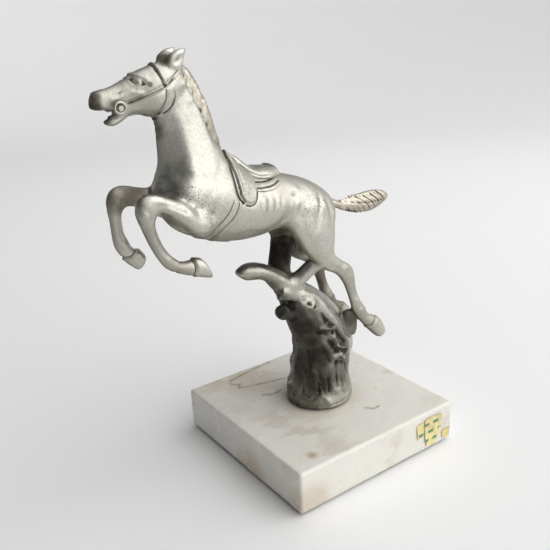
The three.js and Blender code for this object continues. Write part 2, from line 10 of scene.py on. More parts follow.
import bpy
import numpy as np
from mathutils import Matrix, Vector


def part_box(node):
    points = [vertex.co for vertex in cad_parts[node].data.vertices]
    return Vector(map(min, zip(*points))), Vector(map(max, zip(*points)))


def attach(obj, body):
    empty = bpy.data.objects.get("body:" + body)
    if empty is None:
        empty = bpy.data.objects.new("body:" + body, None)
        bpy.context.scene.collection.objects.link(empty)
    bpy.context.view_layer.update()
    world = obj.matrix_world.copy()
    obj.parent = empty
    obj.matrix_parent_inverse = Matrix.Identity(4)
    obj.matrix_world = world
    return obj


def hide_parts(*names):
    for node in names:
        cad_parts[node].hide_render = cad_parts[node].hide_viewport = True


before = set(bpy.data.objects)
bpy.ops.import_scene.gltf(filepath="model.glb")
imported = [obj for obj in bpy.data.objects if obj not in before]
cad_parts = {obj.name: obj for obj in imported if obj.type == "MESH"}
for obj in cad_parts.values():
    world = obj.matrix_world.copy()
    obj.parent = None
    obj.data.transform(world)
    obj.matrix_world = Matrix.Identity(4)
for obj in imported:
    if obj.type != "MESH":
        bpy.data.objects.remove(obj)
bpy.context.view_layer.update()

import openvdb
from mathutils import Matrix, Vector

log = logging.getLogger("hood_ornament")

Point = tuple[float, float]
Line = Sequence[Point]
Colour = tuple[float, float, float]

# Every size and place below is in millimetres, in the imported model's frame, unless it says otherwise.
MM = 0.001
FINE_STEP = 0.21
BODY_STEP = 0.3
GIRTH_STEP = 0.24
BARK_STEP = 0.32
SLAB_STEP = 0.5
BAND = 3.6  # how far from a casting its distances are kept
LOCK_BAND = 1.5  # the same for the mane's locks
FAR = 9.0  # the distance given where nothing is near


class Body(Enum):
    """The rigid bodies of the record."""

    BASE = "base"
    FIGURE = "figure"


class Slot(Enum):
    """The record's material slots."""

    PLATE = "plated_metal"
    DARK_PLATE = "dark_plated_metal"
    BRASSY = "brassy_plate"
    STEEL = "steel_hardware"
    MARBLE = "marble"
    FELT = "felt"
    PAPER = "label_paper"
    GLUE = "old_glue"


# ---- sculpting in a block of distances -------------------------------------------------------------
def blurred(values: np.ndarray, sigma: float) -> np.ndarray:
    """Smooths a block evenly.

    Args:
        values: The block.
        sigma: The width of the smoothing, in grid steps.

    Returns:
        A new block of the same shape.
    """
    if sigma < 0.3:
        return values
    radius = int(math.ceil(2.4 * sigma))
    weights = np.exp(-0.5 * (np.arange(-radius, radius + 1) / sigma) ** 2)
    weights = (weights / weights.sum()).astype(np.float32)
    for axis in range(values.ndim):
        widths = [(radius, radius) if k == axis else (0, 0) for k in range(values.ndim)]
        padded = np.pad(values, widths, mode="edge")
        count = values.shape[axis]
        result = np.zeros_like(values)
        for offset, weight in enumerate(weights):
            window = [slice(None)] * values.ndim
            window[axis] = slice(offset, offset + count)
            result += weight * padded[tuple(window)]
        values = result
    return values


def soft_min(a: np.ndarray, b: np.ndarray, reach: float) -> np.ndarray:
    """Joins two shapes with a fillet about as wide as reach."""
    share = np.clip(reach - np.abs(a - b), 0.0, None) / reach
    return np.minimum(a, b) - share * share * reach * 0.25


def oval(a: np.ndarray, b: np.ndarray, c: np.ndarray, size: float) -> np.ndarray:
    """Rough distance to an ellipsoid, from places given in shares of its radii."""
    return (np.sqrt(a * a + b * b + c * c) - 1.0) * size


def soft_max(a: np.ndarray, b: np.ndarray, reach: float) -> np.ndarray:
    """Cuts one shape by another with an edge rounded over about reach."""
    return -soft_min(-a, -b, reach)


def eased(value: np.ndarray, low: float, high: float) -> np.ndarray:
    """A smooth step from 0 at low to 1 at high."""
    t = np.clip((value - low) / (high - low), 0.0, 1.0)
    return t * t * (3.0 - 2.0 * t)


class Block:
    """An even grid over part of the object, in millimetres."""

    def __init__(self, low: Sequence[float], high: Sequence[float], step: float, pad: int = 4) -> None:
        """Lays the grid.

        Args:
            low: Lowest corner.
            high: Highest corner.
            step: Distance between grid points.
            pad: Extra grid points on every side.
        """
        self.step = step
        self.start = np.floor(np.asarray(low, float) / step).astype(int) - pad
        end = np.ceil(np.asarray(high, float) / step).astype(int) + pad
        self.shape = tuple(int(n) for n in end - self.start + 1)

    def axis(self, k: int) -> np.ndarray:
        """Coordinates along one axis, shaped to broadcast over the block."""
        values = (np.arange(self.shape[k]) + self.start[k]) * self.step
        shape = [1, 1, 1]
        shape[k] = -1
        return values.astype(np.float32).reshape(shape)

    def xyz(self) -> tuple[np.ndarray, np.ndarray, np.ndarray]:
        """The three broadcasting coordinates."""
        return self.axis(0), self.axis(1), self.axis(2)

    def places(self, where: tuple[np.ndarray, ...]) -> np.ndarray:
        """Coordinates of some grid points, one row each."""
        return np.stack([self.axis(k).ravel()[where[k]] for k in range(3)], 1)

    def read(self, grid: Any) -> np.ndarray:
        """A sparse grid's value at every grid point."""
        values = np.empty(self.shape, np.float32)
        grid.copyToArray(values, ijk=tuple(int(v) for v in self.start))
        return values

    def sample(self, values: np.ndarray, points: np.ndarray) -> np.ndarray:
        """Reads a block between its grid points.

        Args:
            values: One value per grid point.
            points: Places in millimetres, one row each.

        Returns:
            One value for each row.
        """
        place = points / self.step - self.start
        top = np.array(self.shape) - 2
        whole = np.clip(np.floor(place).astype(int), 0, top)
        t = np.clip(place - whole, 0.0, 1.0)
        total = np.zeros(len(points))
        for corner in range(8):
            bits = [(corner >> k) & 1 for k in range(3)]
            weight = np.prod([t[:, k] if bits[k] else 1.0 - t[:, k] for k in range(3)], axis=0)
            total += weight * values[tuple(whole[:, k] + bits[k] for k in range(3))]
        return total


def level_set(mesh: bpy.types.Mesh, step: float, band: float) -> Any:
    """Works out the distances to a closed mesh.

    Args:
        mesh: The mesh, in metres.
        step: Distance between grid points, in millimetres.
        band: How far from the surface distances are kept, in millimetres.

    Returns:
        A sparse grid of distances in millimetres, negative inside.
    """
    points = np.zeros(len(mesh.vertices) * 3, np.float32)
    mesh.vertices.foreach_get("co", points)
    mesh.calc_loop_triangles()
    corners = np.zeros(len(mesh.loop_triangles) * 3, np.int32)
    mesh.loop_triangles.foreach_get("vertices", corners)
    return openvdb.FloatGrid.createLevelSetFromPolygons(
        (points.reshape(-1, 3) / MM).astype(np.float32),
        triangles=corners.reshape(-1, 3).astype(np.uint32),
        transform=openvdb.createLinearTransform(voxelSize=step),
        halfWidth=band / step,
    )


class Solids:
    """Distances to the CAD nodes, each worked out once for a grid step."""

    def __init__(self, nodes: dict[str, bpy.types.Object]) -> None:
        """Keeps the nodes and their boxes in millimetres."""
        self.nodes = nodes
        self.grids: dict[tuple[str, float], Any] = {}
        self.boxes: dict[str, tuple[np.ndarray, np.ndarray]] = {}
        for name in nodes:
            low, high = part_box(name)
            self.boxes[name] = (np.array(low) / MM, np.array(high) / MM)

    def distance(self, name: str, block: Block) -> np.ndarray:
        """Signed distance to a node at every grid point, cut off past the band."""
        key = (name, block.step)
        if key not in self.grids:
            self.grids[key] = level_set(self.nodes[name].data, block.step, BAND)
        return block.read(self.grids[key])

    def near(self, name: str, block: Block) -> bool:
        """Whether a node reaches into a block."""
        low, high = self.boxes[name]
        first = block.start * block.step - BAND
        last = (block.start + np.array(block.shape)) * block.step + BAND
        return bool(np.all(high > first) and np.all(low < last))


# ---- relief drawn from the side --------------------------------------------------------------------
@dataclass
class Relief:
    """Heights over the side view, in millimetres, that raise or sink a surface."""

    block: Block
    y: np.ndarray = field(init=False)
    z: np.ndarray = field(init=False)
    height: np.ndarray = field(init=False)

    def __post_init__(self) -> None:
        """Starts flat."""
        self.y = self.block.axis(1)[0]
        self.z = self.block.axis(2)[0]
        self.height = np.zeros(self.block.shape[1:], np.float32)

    def along(self, line: Line) -> tuple[np.ndarray, np.ndarray, np.ndarray]:
        """Measures from a line of points.

        Returns:
            Distance from the line, length along it, and signed distance, positive on its left.
        """
        best = np.full(self.height.shape, 1e9, np.float32)
        length = np.zeros_like(best)
        side = np.zeros_like(best)
        run = 0.0
        for (y0, z0), (y1, z1) in zip(line, line[1:]):
            dy, dz = y1 - y0, z1 - z0
            size = math.hypot(dy, dz)
            t = np.clip(((self.y - y0) * dy + (self.z - z0) * dz) / size**2, 0.0, 1.0)
            gap_y, gap_z = self.y - (y0 + t * dy), self.z - (z0 + t * dz)
            gap = np.hypot(gap_y, gap_z)
            closer = gap < best
            cross = dy * (self.z - z0) - dz * (self.y - y0)
            best = np.where(closer, gap, best)
            length = np.where(closer, run + t * size, length)
            side = np.where(closer, np.sign(cross) * gap, side)
            run += size
        return best, length, side

    def line(self, points: Line, width: float, height: float, fade: float = 0.0) -> None:
        """Adds a ridge, or a groove where the height is negative.

        Args:
            points: Its course.
            width: Half-width at which it has nearly gone.
            height: How far it stands up.
            fade: Length over which it dies away at both ends.
        """
        gap, length, _ = self.along(smooth_line(points))
        profile = np.exp(-((gap / (0.6 * width)) ** 2))
        if fade:
            total = line_length(smooth_line(points))
            profile = profile * eased(length, 0.0, fade) * eased(total - length, 0.0, fade)
        self.height += height * profile

    def draw(self, stroke: "Stroke") -> None:
        """Adds a stroke."""
        self.line(stroke.course, stroke.width, stroke.height, stroke.fade)

    def touched_by(self, points: Line, margin: float = 3.0) -> bool:
        """Whether the box round some points comes within a margin of this view."""
        boxes = ((self.y, [p[0] for p in points]), (self.z, [p[1] for p in points]))
        return all(max(v) >= a.min() - margin and min(v) <= a.max() + margin for a, v in boxes)

    def patch(self, centre: Point, radii: Point, height: float, turn: float = 0.0) -> None:
        """Adds a soft oval swelling, or a hollow where the height is negative."""
        angle = math.radians(turn)
        y, z = self.y - centre[0], self.z - centre[1]
        a = (y * math.cos(angle) + z * math.sin(angle)) / radii[0]
        b = (-y * math.sin(angle) + z * math.cos(angle)) / radii[1]
        self.height += height * np.exp(-1.4 * (a * a + b * b))

    def outline(self, points: Line) -> np.ndarray:
        """Signed distance to a closed outline, negative inside it."""
        closed = list(points) + [points[0]]
        gap, _, _ = self.along(closed)
        inside = np.zeros(self.height.shape, bool)
        for (y0, z0), (y1, z1) in zip(closed, closed[1:]):
            if z0 == z1:
                continue
            spans = (self.z > min(z0, z1)) & (self.z <= max(z0, z1))
            inside ^= spans & (self.y < y0 + (self.z - z0) * (y1 - y0) / (z1 - z0))
        return np.where(inside, -gap, gap).astype(np.float32)


def smooth_line(points: Line, parts: int = 6) -> list[Point]:
    """Rounds a line of points into a curve through them all."""
    given = [np.array(p, float) for p in points]
    if len(given) < 3:
        return [tuple(p) for p in given]
    ends = [2 * given[0] - given[1], *given, 2 * given[-1] - given[-2]]
    curve: list[Point] = []
    for a, b, c, d in zip(ends, ends[1:], ends[2:], ends[3:]):
        for k in range(parts):
            t = k / parts
            p = 0.5 * (2 * b + (c - a) * t + (2 * a - 5 * b + 4 * c - d) * t**2)
            curve.append(tuple(p + 0.5 * (3 * b - a - 3 * c + d) * t**3))
    return [*curve, tuple(given[-1])]


def line_length(points: Line) -> float:
    """Length of a line of points."""
    return sum(math.dist(a, b) for a, b in zip(points, points[1:]))


# ---- meshes ----------------------------------------------------------------------------------------
def biggest_shell(count: int, faces: np.ndarray) -> np.ndarray:
    """Picks the faces of the shell that has the most points.

    Args:
        count: How many points there are.
        faces: Corner numbers, one row for each face.

    Returns:
        True for each face that belongs to it.
    """
    label = np.arange(count)
    pairs = np.concatenate([faces[:, [k, (k + 1) % faces.shape[1]]] for k in range(faces.shape[1])])
    while True:
        least = np.minimum(label[pairs[:, 0]], label[pairs[:, 1]])
        before = label.copy()
        np.minimum.at(label, pairs[:, 0], least)
        np.minimum.at(label, pairs[:, 1], least)
        label = label[label]
        if np.array_equal(before, label):
            break
    used = label[faces[:, 0]]
    return used == np.bincount(used).argmax()


def linked(name: str, data: Any) -> bpy.types.Object:
    """Makes an object at the origin of the scene."""
    made = bpy.data.objects.new(name, data)
    bpy.context.scene.collection.objects.link(made)
    return made


def claim(made: bpy.types.Object, body: Body, slot: Slot, *nodes: str) -> None:
    """Hangs a piece on the body that it rides on and hides the CAD nodes that it stands for."""
    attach(made, body.value)
    if nodes:
        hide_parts(*nodes)
    log.info("%s: %d faces", made.name, len(made.data.polygons))


def drawn_mesh(name: str, points: Sequence, faces: Sequence, finish: bpy.types.Material) -> bpy.types.Mesh:
    """Makes a mesh from lists, its points in millimetres."""
    mesh = bpy.data.meshes.new(name)
    mesh.from_pydata([tuple(v * MM for v in p) for p in points], [], faces)
    mesh.materials.append(finish)
    return mesh


def around(count: int) -> list[tuple[int, int]]:
    """The neighbours round a ring of points."""
    return [(j, (j + 1) % count) for j in range(count)]


def mesh_object(name: str, points: np.ndarray, faces: np.ndarray) -> bpy.types.Object:
    """Makes an object at the origin from points in millimetres."""
    mesh = bpy.data.meshes.new(name)
    mesh.vertices.add(len(points))
    mesh.vertices.foreach_set("co", (points * MM).astype(np.float32).ravel())
    sides = faces.shape[1]
    mesh.loops.add(len(faces) * sides)
    mesh.loops.foreach_set("vertex_index", faces.astype(np.int32).ravel())
    mesh.polygons.add(len(faces))
    mesh.polygons.foreach_set("loop_start", np.arange(0, len(faces) * sides, sides, dtype=np.int32))
    mesh.polygons.foreach_set("use_smooth", np.ones(len(faces), bool))
    mesh.update(calc_edges=True)
    mesh.validate()
    return linked(name, mesh)


def paint(made: bpy.types.Object, name: str, values: np.ndarray) -> None:
    """Stores one number for each point of a mesh, for its material to read."""
    layer = made.data.attributes.new(name, "FLOAT", "POINT")
    layer.data.foreach_set("value", values.astype(np.float32))


@dataclass
class Skin:
    """The surface of a block: its points, their normals and how hollow each place is."""

    points: np.ndarray
    faces: np.ndarray
    normals: np.ndarray
    hollow: np.ndarray


def skin_of(block: Block, shape: np.ndarray, hide: np.ndarray | None = None) -> Skin:
    """Draws the surface of a shape.

    Args:
        block: The grid.
        shape: Distances whose zero is the surface.
        hide: Distances that give the normals and hollows, where the shape is part of a larger one.

    Returns:
        The surface of the shape's largest shell.
    """
    hide = shape if hide is None else hide
    grid = openvdb.FloatGrid(FAR)
    grid.transform = openvdb.createLinearTransform(voxelSize=block.step)
    edged = shape.copy()
    for k in range(3):
        for end in (0, -1):
            border = [slice(None)] * 3
            border[k] = end
            edged[tuple(border)] = np.maximum(edged[tuple(border)], block.step)
    grid.copyFromArray(edged, ijk=tuple(int(v) for v in block.start))
    points, faces = grid.convertToQuads(isovalue=0.0)
    faces = faces.astype(np.int64)
    a, b, c = (points[faces[:, k]] for k in range(3))
    if np.einsum("ij,ij->i", a, np.cross(b, c)).sum() < 0:
        faces = faces[:, ::-1]
    faces = faces[biggest_shell(len(points), faces)]
    kept, faces = np.unique(faces, return_inverse=True)
    faces = faces.reshape(-1, 4)
    points = points[kept].astype(float)
    soft = blurred(hide, 0.35 / block.step * 1.2)
    slopes = [block.sample(g, points) for g in np.gradient(soft, block.step)]
    normals = np.stack(slopes, 1)
    normals /= np.linalg.norm(normals, axis=1, keepdims=True) + 1e-9
    wide = blurred(np.clip(hide, -2.0, 2.0), 0.8 / block.step)
    hollow = block.sample(hide - wide, points)
    return Skin(points, faces, normals, hollow)


@dataclass(frozen=True)
class Spot:
    """A ball-shaped place where the plate is changed."""

    centre: tuple[float, float, float]
    radius: float
    strength: float


# Where the plate is darkened or browned, partly as soot and tarnish and partly as painted shade and painted
# dark
# reflection: the muzzle, the eyes, the poll, the throat, the withers, under the belly and in the stump's
# deeper folds, and faintly over the head and the lower legs.
SOOT_AND_PAINTED_SHADE = (
    Spot((0.0, -81.0, 143.4), 4.6, 1.0),
    Spot((3.4, -80.4, 142.6), 2.9, 1.0),
    Spot((-3.4, -80.4, 142.6), 2.9, 1.0),
    Spot((0.0, -77.6, 138.6), 3.2, 0.9),
    Spot((4.4, -69.2, 149.3), 1.2, 1.0),
    Spot((-4.4, -69.2, 149.3), 1.2, 1.0),
    Spot((4.6, -62.8, 147.7), 0.9, 0.8),
    Spot((-4.6, -62.8, 147.7), 0.9, 0.8),
    Spot((0.0, -44.0, 131.5), 4.4, 0.55),
    Spot((2.6, -56.4, 154.6), 2.2, 0.9),
    Spot((-2.6, -56.2, 154.6), 3.2, 1.0),
    Spot((0.0, -41.0, 126.0), 3.6, 1.0),
    Spot((0.0, -38.0, 121.5), 3.0, 0.9),
    Spot((-10.4, -64.0, 115.8), 5.0, 0.6),
    Spot((0.0, -61.0, 133.5), 3.6, 0.7),
    Spot((-1.0, -12.0, 88.0), 8.4, 1.0),
    Spot((-4.0, -15.0, 83.0), 9.0, 1.0),
    Spot((-5.5, -3.0, 84.0), 8.6, 1.0),
    Spot((6.6, -10.0, 50.0), 8.0, 0.9),
    Spot((10.0, -6.0, 40.0), 6.0, 0.95),
    Spot((9.0, -6.0, 30.0), 6.0, 0.8),
    Spot((5.0, -10.0, 36.0), 9.0, 0.75),
    Spot((4.0, -15.0, 58.0), 7.0, 0.7),
    Spot((-10.0, 0.0, 45.0), 12.0, 0.7),
    Spot((9.0, -70.0, 101.0), 2.6, 0.35),
    Spot((-9.0, 6.0, 66.0), 10.0, 0.75),
    Spot((-9.0, 17.0, 53.0), 7.0, 0.6),
    Spot((-9.0, -70.0, 113.0), 6.5, 0.6),
    Spot((0.0, -70.5, 152.5), 4.6, 0.5),
    Spot((5.0, -70.0, 146.0), 11.0, 0.17),
    Spot((8.0, -68.0, 104.0), 9.0, 0.26),
    Spot((8.0, -65.0, 91.0), 8.0, 0.26),
    Spot((9.0, 8.0, 70.0), 9.0, 0.26),
    Spot((9.0, 20.0, 54.0), 9.0, 0.26),
    Spot((0.0, -62.0, 156.0), 4.6, 0.5),
    Spot((9.0, 10.5, 52.0), 3.6, 0.5),
)
# Painted shade: the plate's colour is darkened on faces that point this way.
PAINTED_SHADE_FACING = (-0.35, -0.50, -0.79)  # the plate is duller where it faces this way, down and to the off side
# Where pits crowd together: the shoulder, the flap, the haunch and the side of the nose.
PITTED = (
    Spot((11.5, -56.0, 112.5), 5.6, 1.0),
    Spot((11.0, -49.0, 108.0), 4.4, 0.8),
    Spot((11.5, -36.0, 113.0), 4.6, 0.9),
    Spot((11.0, -7.0, 101.0), 6.4, 1.0),
    Spot((10.0, -1.0, 94.0), 4.6, 0.8),
    Spot((-11.0, -52.0, 110.0), 7.0, 0.9),
    Spot((-11.0, -6.0, 99.0), 7.0, 0.9),
    Spot((5.0, -73.0, 146.0), 3.6, 0.7),
)


def reached(points: np.ndarray, spots: Sequence[Spot]) -> np.ndarray:
    """How far each point lies in the nearest of some spots, from 0 to 1."""
    total = np.zeros(len(points))
    for spot in spots:
        away = np.linalg.norm(points - np.array(spot.centre), axis=1)
        share = 1.0 - eased(away, 0.55 * spot.radius, 1.35 * spot.radius)
        total = np.maximum(total, spot.strength * share)
    return total


class SculptedPiece:
    """A mesh drawn from a block, ready for its finish."""

    def __init__(self, name: str, skin: Skin, body: Body, slot: Slot, nodes: Sequence[str]) -> None:
        """Makes the object, hangs it on its body and hides the CAD nodes that it stands for.

        Args:
            name: Piece name.
            skin: Its surface.
            body: The body that it rides on.
            slot: The record's material slot. Not used.
            nodes: The CAD nodes that it replaces.
        """
        self.skin = skin
        self.made = mesh_object(name, skin.points, skin.faces)
        claim(self.made, body, slot, *nodes)

    def smooth_normals(self) -> None:
        """Takes the shading normals from the distances, so that reflections run on past a joint."""
        self.made.data.normals_split_custom_set_from_vertices(self.skin.normals.tolist())

    def dress(self, material: bpy.types.Material, **layers: np.ndarray) -> None:
        """Gives the piece its finish and the layers that the finish reads."""
        self.made.data.materials.clear()
        self.made.data.materials.append(material)
        for name, values in layers.items():
            paint(self.made, name, values)
        if "hollow" in layers:
            # Painted shade on faces that point down and to the off side, merged into the painted soot layer.
            facing = self.skin.normals @ np.array(PAINTED_SHADE_FACING)
            shaded = 0.75 * eased(facing, 0.2, 0.9)
            paint(self.made, "soot_and_shade", np.maximum(reached(self.skin.points, SOOT_AND_PAINTED_SHADE), shaded))
            paint(self.made, "pitted", reached(self.skin.points, PITTED))


# ---- shader tools ----------------------------------------------------------------------------------
class Num:
    """A number socket whose Python operators add Math nodes."""

    def __init__(self, shader: "Shader", socket: bpy.types.NodeSocket) -> None:
        """Wraps an output socket."""
        self.shader = shader
        self.socket = socket

    def _math(self, operation: str, a: Any, b: Any = 0.0) -> "Num":
        """Adds one Math node."""
        made = self.shader.node("ShaderNodeMath", {"operation": operation}, {0: a, 1: b})
        return Num(self.shader, made.outputs[0])

    def __add__(self, other: Any) -> "Num":
        """Sum."""
        return self._math("ADD", self, other)

    def __sub__(self, other: Any) -> "Num":
        """Difference."""
        return self._math("SUBTRACT", self, other)

    def __rsub__(self, other: Any) -> "Num":
        """Difference from a plain number."""
        return self._math("SUBTRACT", other, self)

    def __mul__(self, other: Any) -> "Num":
        """Product."""
        return self._math("MULTIPLY", self, other)

    def most(self, other: Any) -> "Num":
        """The larger of two numbers."""
        return self._math("MAXIMUM", self, other)

    def ease(self, low: float, high: float, start: float = 0.0, end: float = 1.0) -> "Num":
        """A smooth change from start at low to end at high."""
        made = self.shader.node(
            "ShaderNodeMapRange",
            {"interpolation_type": "SMOOTHSTEP"},
            {"Value": self, "From Min": low, "From Max": high, "To Min": start, "To Max": end},
        )
        return Num(self.shader, made.outputs["Result"])


class Shader:
    """A material's node tree. Scales are in features per metre."""

    def __init__(self, name: str) -> None:
        """Starts a material with one Principled shader."""
        self.material = bpy.data.materials.new(name)
        self.material.use_nodes = True
        self.tree = self.material.node_tree
        self.principled = self.tree.nodes["Principled BSDF"]
        self.place = self.node("ShaderNodeTexCoord").outputs["Object"]

    def node(self, kind: str, settings: dict | None = None, values: dict | None = None) -> bpy.types.Node:
        """Adds a node.

        Args:
            kind: Blender's node type.
            settings: Properties, set first.
            values: What each input socket is set or linked to.

        Returns:
            The node.
        """
        made = self.tree.nodes.new(kind)
        for key, value in (settings or {}).items():
            setattr(made, key, value)
        self.feed(made, values or {})
        return made

    def feed(self, node: bpy.types.Node, values: dict) -> None:
        """Sets or links a node's input sockets."""
        for key, value in values.items():
            source = value.socket if isinstance(value, Num) else value
            if isinstance(source, bpy.types.NodeSocket):
                self.tree.links.new(source, node.inputs[key])
            else:
                node.inputs[key].default_value = source

    def layer(self, name: str) -> Num:
        """A number painted on the mesh."""
        return Num(self, self.node("ShaderNodeAttribute", {"attribute_name": name}).outputs["Fac"])

    def stretched(self, scale: Sequence[float]) -> bpy.types.NodeSocket:
        """Object coordinates stretched along the axes."""
        made = self.node("ShaderNodeMapping", None, {"Vector": self.place, "Scale": tuple(scale)})
        return made.outputs["Vector"]

    def noise(self, scale: float, detail: float = 3.0, rough: float = 0.5, vector: Any = None) -> Num:
        """Cloudy noise between 0 and 1."""
        values = {"Vector": vector or self.place, "Scale": scale, "Detail": detail, "Roughness": rough}
        return Num(self, self.node("ShaderNodeTexNoise", None, values).outputs["Fac"])

    def turned_to_side(self) -> bpy.types.NodeSocket:
        """Object coordinates with Y and Z brought flat, for a pattern on the slab's side."""
        apart = self.node("ShaderNodeSeparateXYZ", None, {0: self.place})
        made = self.node("ShaderNodeCombineXYZ", None, {0: apart.outputs["Y"], 1: apart.outputs["Z"]})
        return made.outputs[0]

    def specks(self, scale: float) -> Num:
        """Distance to the nearest of scattered points, in their spacing."""
        values = {"Vector": self.place, "Scale": scale}
        return Num(self, self.node("ShaderNodeTexVoronoi", None, values).outputs["Distance"])

    def mix(self, share: Num | float, first: Any, second: Any) -> bpy.types.NodeSocket:
        """A colour between two."""
        ends = {6: first if isinstance(first, bpy.types.NodeSocket) else (*first, 1.0)}
        ends[7] = second if isinstance(second, bpy.types.NodeSocket) else (*second, 1.0)
        made = self.node("ShaderNodeMix", {"data_type": "RGBA"}, {0: share, **ends})
        return made.outputs[2]

    def finish(self, values: dict, bumps: Iterable[tuple[Num, float]] = ()) -> bpy.types.Material:
        """Sets the Principled shader.

        Args:
            values: Its sockets.
            bumps: Heights and their depths in metres, each on top of the last.

        Returns:
            The material.
        """
        self.feed(self.principled, values)
        normal = None
        for height, depth in bumps:
            inputs = {"Height": height, "Distance": depth, "Strength": 1.0}
            if normal is not None:
                inputs["Normal"] = normal
            normal = self.node("ShaderNodeBump", None, inputs).outputs["Normal"]
        if normal is not None:
            self.tree.links.new(normal, self.principled.inputs["Normal"])
        return self.material


# ---- finishes --------------------------------------------------------------------------------------
@dataclass(frozen=True)
class PlateFinish:
    """Old bright plate on white metal: worn and pitted, darkened in its hollows partly by dirt and partly as
    painted shade.
    """

    name: str
    bright: Colour = (0.55, 0.543, 0.492)
    worn: Colour = (0.32, 0.30, 0.245)
    # The same colours under painted shade, picked by the painted shade layer of the stump and its props.
    deep_bright: Colour = (0.21, 0.203, 0.175)
    deep_worn: Colour = (0.070, 0.060, 0.046)
    # The colour of dirt and of painted shade in the hollows, the pits and the soot.
    dirt_and_shade: Colour = (0.055, 0.046, 0.034)
    rust: Colour = (0.37, 0.28, 0.18)
    tarnish: float = 0.45
    gloss: float = 0.36
    grain: float = 1.0
    clean_to: float = 0.03

    def build(self) -> bpy.types.Material:
        """Makes the material.

        Returns:
            It reads four layers from the mesh: how hollow each place is, its soot with painted shade, its
                pits, and the painted shade that picks between lit and shaded colours.
        """
        s = Shader(self.name)
        cloud = s.noise(130.0, 5.0, 0.62)
        fine = s.noise(900.0, 4.0, 0.6)
        broad = s.noise(45.0, 3.0, 0.5)
        hollow = s.layer("hollow")
        # Soot and tarnish, together with painted shade and painted dark reflection, painted on the mesh.
        soot_and_shade = s.layer("soot_and_shade")
        # Painted shade in the hollows, with the dirt that gathers there: the more hollow a place, the darker
        # its colour.
        grime_and_painted_shade = (hollow + (cloud - 0.5) * 0.08).ease(self.clean_to, self.clean_to + 0.2)
        pitted = s.layer("pitted")
        pits = s.specks(1500.0).ease(0.10, 0.19, 1.0, 0.0) * cloud.ease(0.48, 0.60)
        craters = s.specks(1450.0).ease(0.18, 0.30, 1.0, 0.0) * (fine * 0.6 + pitted * 0.4).ease(0.48, 0.64)
        pits = pits.most(craters)
        # Random tarnish, with the painted layer's soot and painted shade laid over it.
        stain = ((broad * 0.65 + cloud * 0.35).ease(0.46, 0.66) * self.tarnish).most(soot_and_shade)
        ruddy = s.noise(70.0, 4.0, 0.65).ease(0.55, 0.72) * self.tarnish + soot_and_shade * 0.5
        dark = grime_and_painted_shade.most(pits * 0.85).most(soot_and_shade * cloud.ease(0.30, 0.56) * 0.8)
        mottle = s.noise(1300.0, 4.0, 0.7).ease(0.44, 0.64) * 0.4
        # Painted light and shade: lit and shaded copies of the colours, mixed by a layer painted on the mesh.
        deep = s.layer("deep")
        clean = s.mix(deep, self.bright, self.deep_bright)
        dull = s.mix(deep, self.worn, self.deep_worn)
        colour = s.mix(stain.most(mottle), clean, dull)
        colour = s.mix(ruddy * 0.55, colour, self.rust)
        colour = s.mix(dark * 0.93, colour, self.dirt_and_shade)
        rough = stain * 0.16 + fine * 0.10 + dark * 0.42 + self.gloss
        metallic = 1.0 - dark * 0.55
        hammered = s.noise(330.0, 3.0, 0.55)
        bumps = [(hammered, 0.00016 * self.grain), (fine, 0.00006 * self.grain), (1.0 - pits, 0.00010)]
        return s.finish({"Base Color": colour, "Roughness": rough, "Metallic": metallic}, bumps)


@dataclass(frozen=True)
class MarbleFinish:
    """Polished cream marble with beige clouds and fine brown veins."""

    name: str = "cream_marble"

    def build(self) -> bpy.types.Material:
        """Makes the material."""
        s = Shader(self.name)
        wander = s.noise(22.0, 5.0, 0.6)
        cloud = s.noise(30.0, 4.0, 0.6, s.stretched((1.0, 0.45, 1.6)))
        vein_wave = s.noise(13.0, 6.0, 0.62, s.stretched((1.5, 0.55, 1.0)))
        vein = ((vein_wave - 0.5) * (vein_wave - 0.5)).ease(0.0, 0.0009, 1.0, 0.0) * wander.ease(0.45, 0.62)
        speck = s.specks(260.0).ease(0.05, 0.13, 1.0, 0.0) * s.noise(60.0).ease(0.55, 0.66)
        colour = s.mix(cloud.ease(0.52, 0.92), (0.755, 0.74, 0.685), (0.64, 0.58, 0.48))
        colour = s.mix(wander.ease(0.50, 0.70) * 0.5, colour, (0.79, 0.775, 0.73))
        seam = s.layer("seam") * s.noise(400.0, 4.0, 0.7).ease(0.30, 0.55)
        colour = s.mix(vein * 0.3, colour, (0.40, 0.30, 0.20))
        # Brown stains, and round the stump's foot a painted contact shadow as well.
        colour = s.mix(s.layer("stained") * cloud.ease(0.26, 0.66) * 0.75, colour, (0.50, 0.38, 0.24))
        colour = s.mix(seam * 0.9, colour, (0.22, 0.14, 0.08))
        colour = s.mix(speck * 0.6, colour, (0.30, 0.20, 0.12))
        rough = s.noise(120.0, 3.0).ease(0.3, 0.7, 0.16, 0.34)
        values = {"Base Color": colour, "Roughness": rough, "Subsurface Weight": 0.25, "IOR": 1.52}
        values["Subsurface Radius"] = Vector((0.004, 0.003, 0.002))
        return s.finish(values, [(s.noise(160.0, 4.0), 0.00004), (1.0 - speck, 0.00005)])


@dataclass(frozen=True)
class FeltFinish:
    """Matted green wool felt."""

    name: str = "green_felt"

    def build(self) -> bpy.types.Material:
        """Makes the material."""
        s = Shader(self.name)
        fibre = s.noise(2400.0, 5.0, 0.7, s.stretched((1.0, 0.35, 1.0)))
        tuft = s.noise(500.0, 3.0)
        colour = s.mix(fibre.ease(0.35, 0.65), (0.028, 0.040, 0.028), (0.085, 0.105, 0.075))
        rough = tuft.ease(0.2, 0.8, 0.85, 1.0)
        return s.finish({"Base Color": colour, "Roughness": rough}, [(fibre, 0.0002), (tuft, 0.0003)])


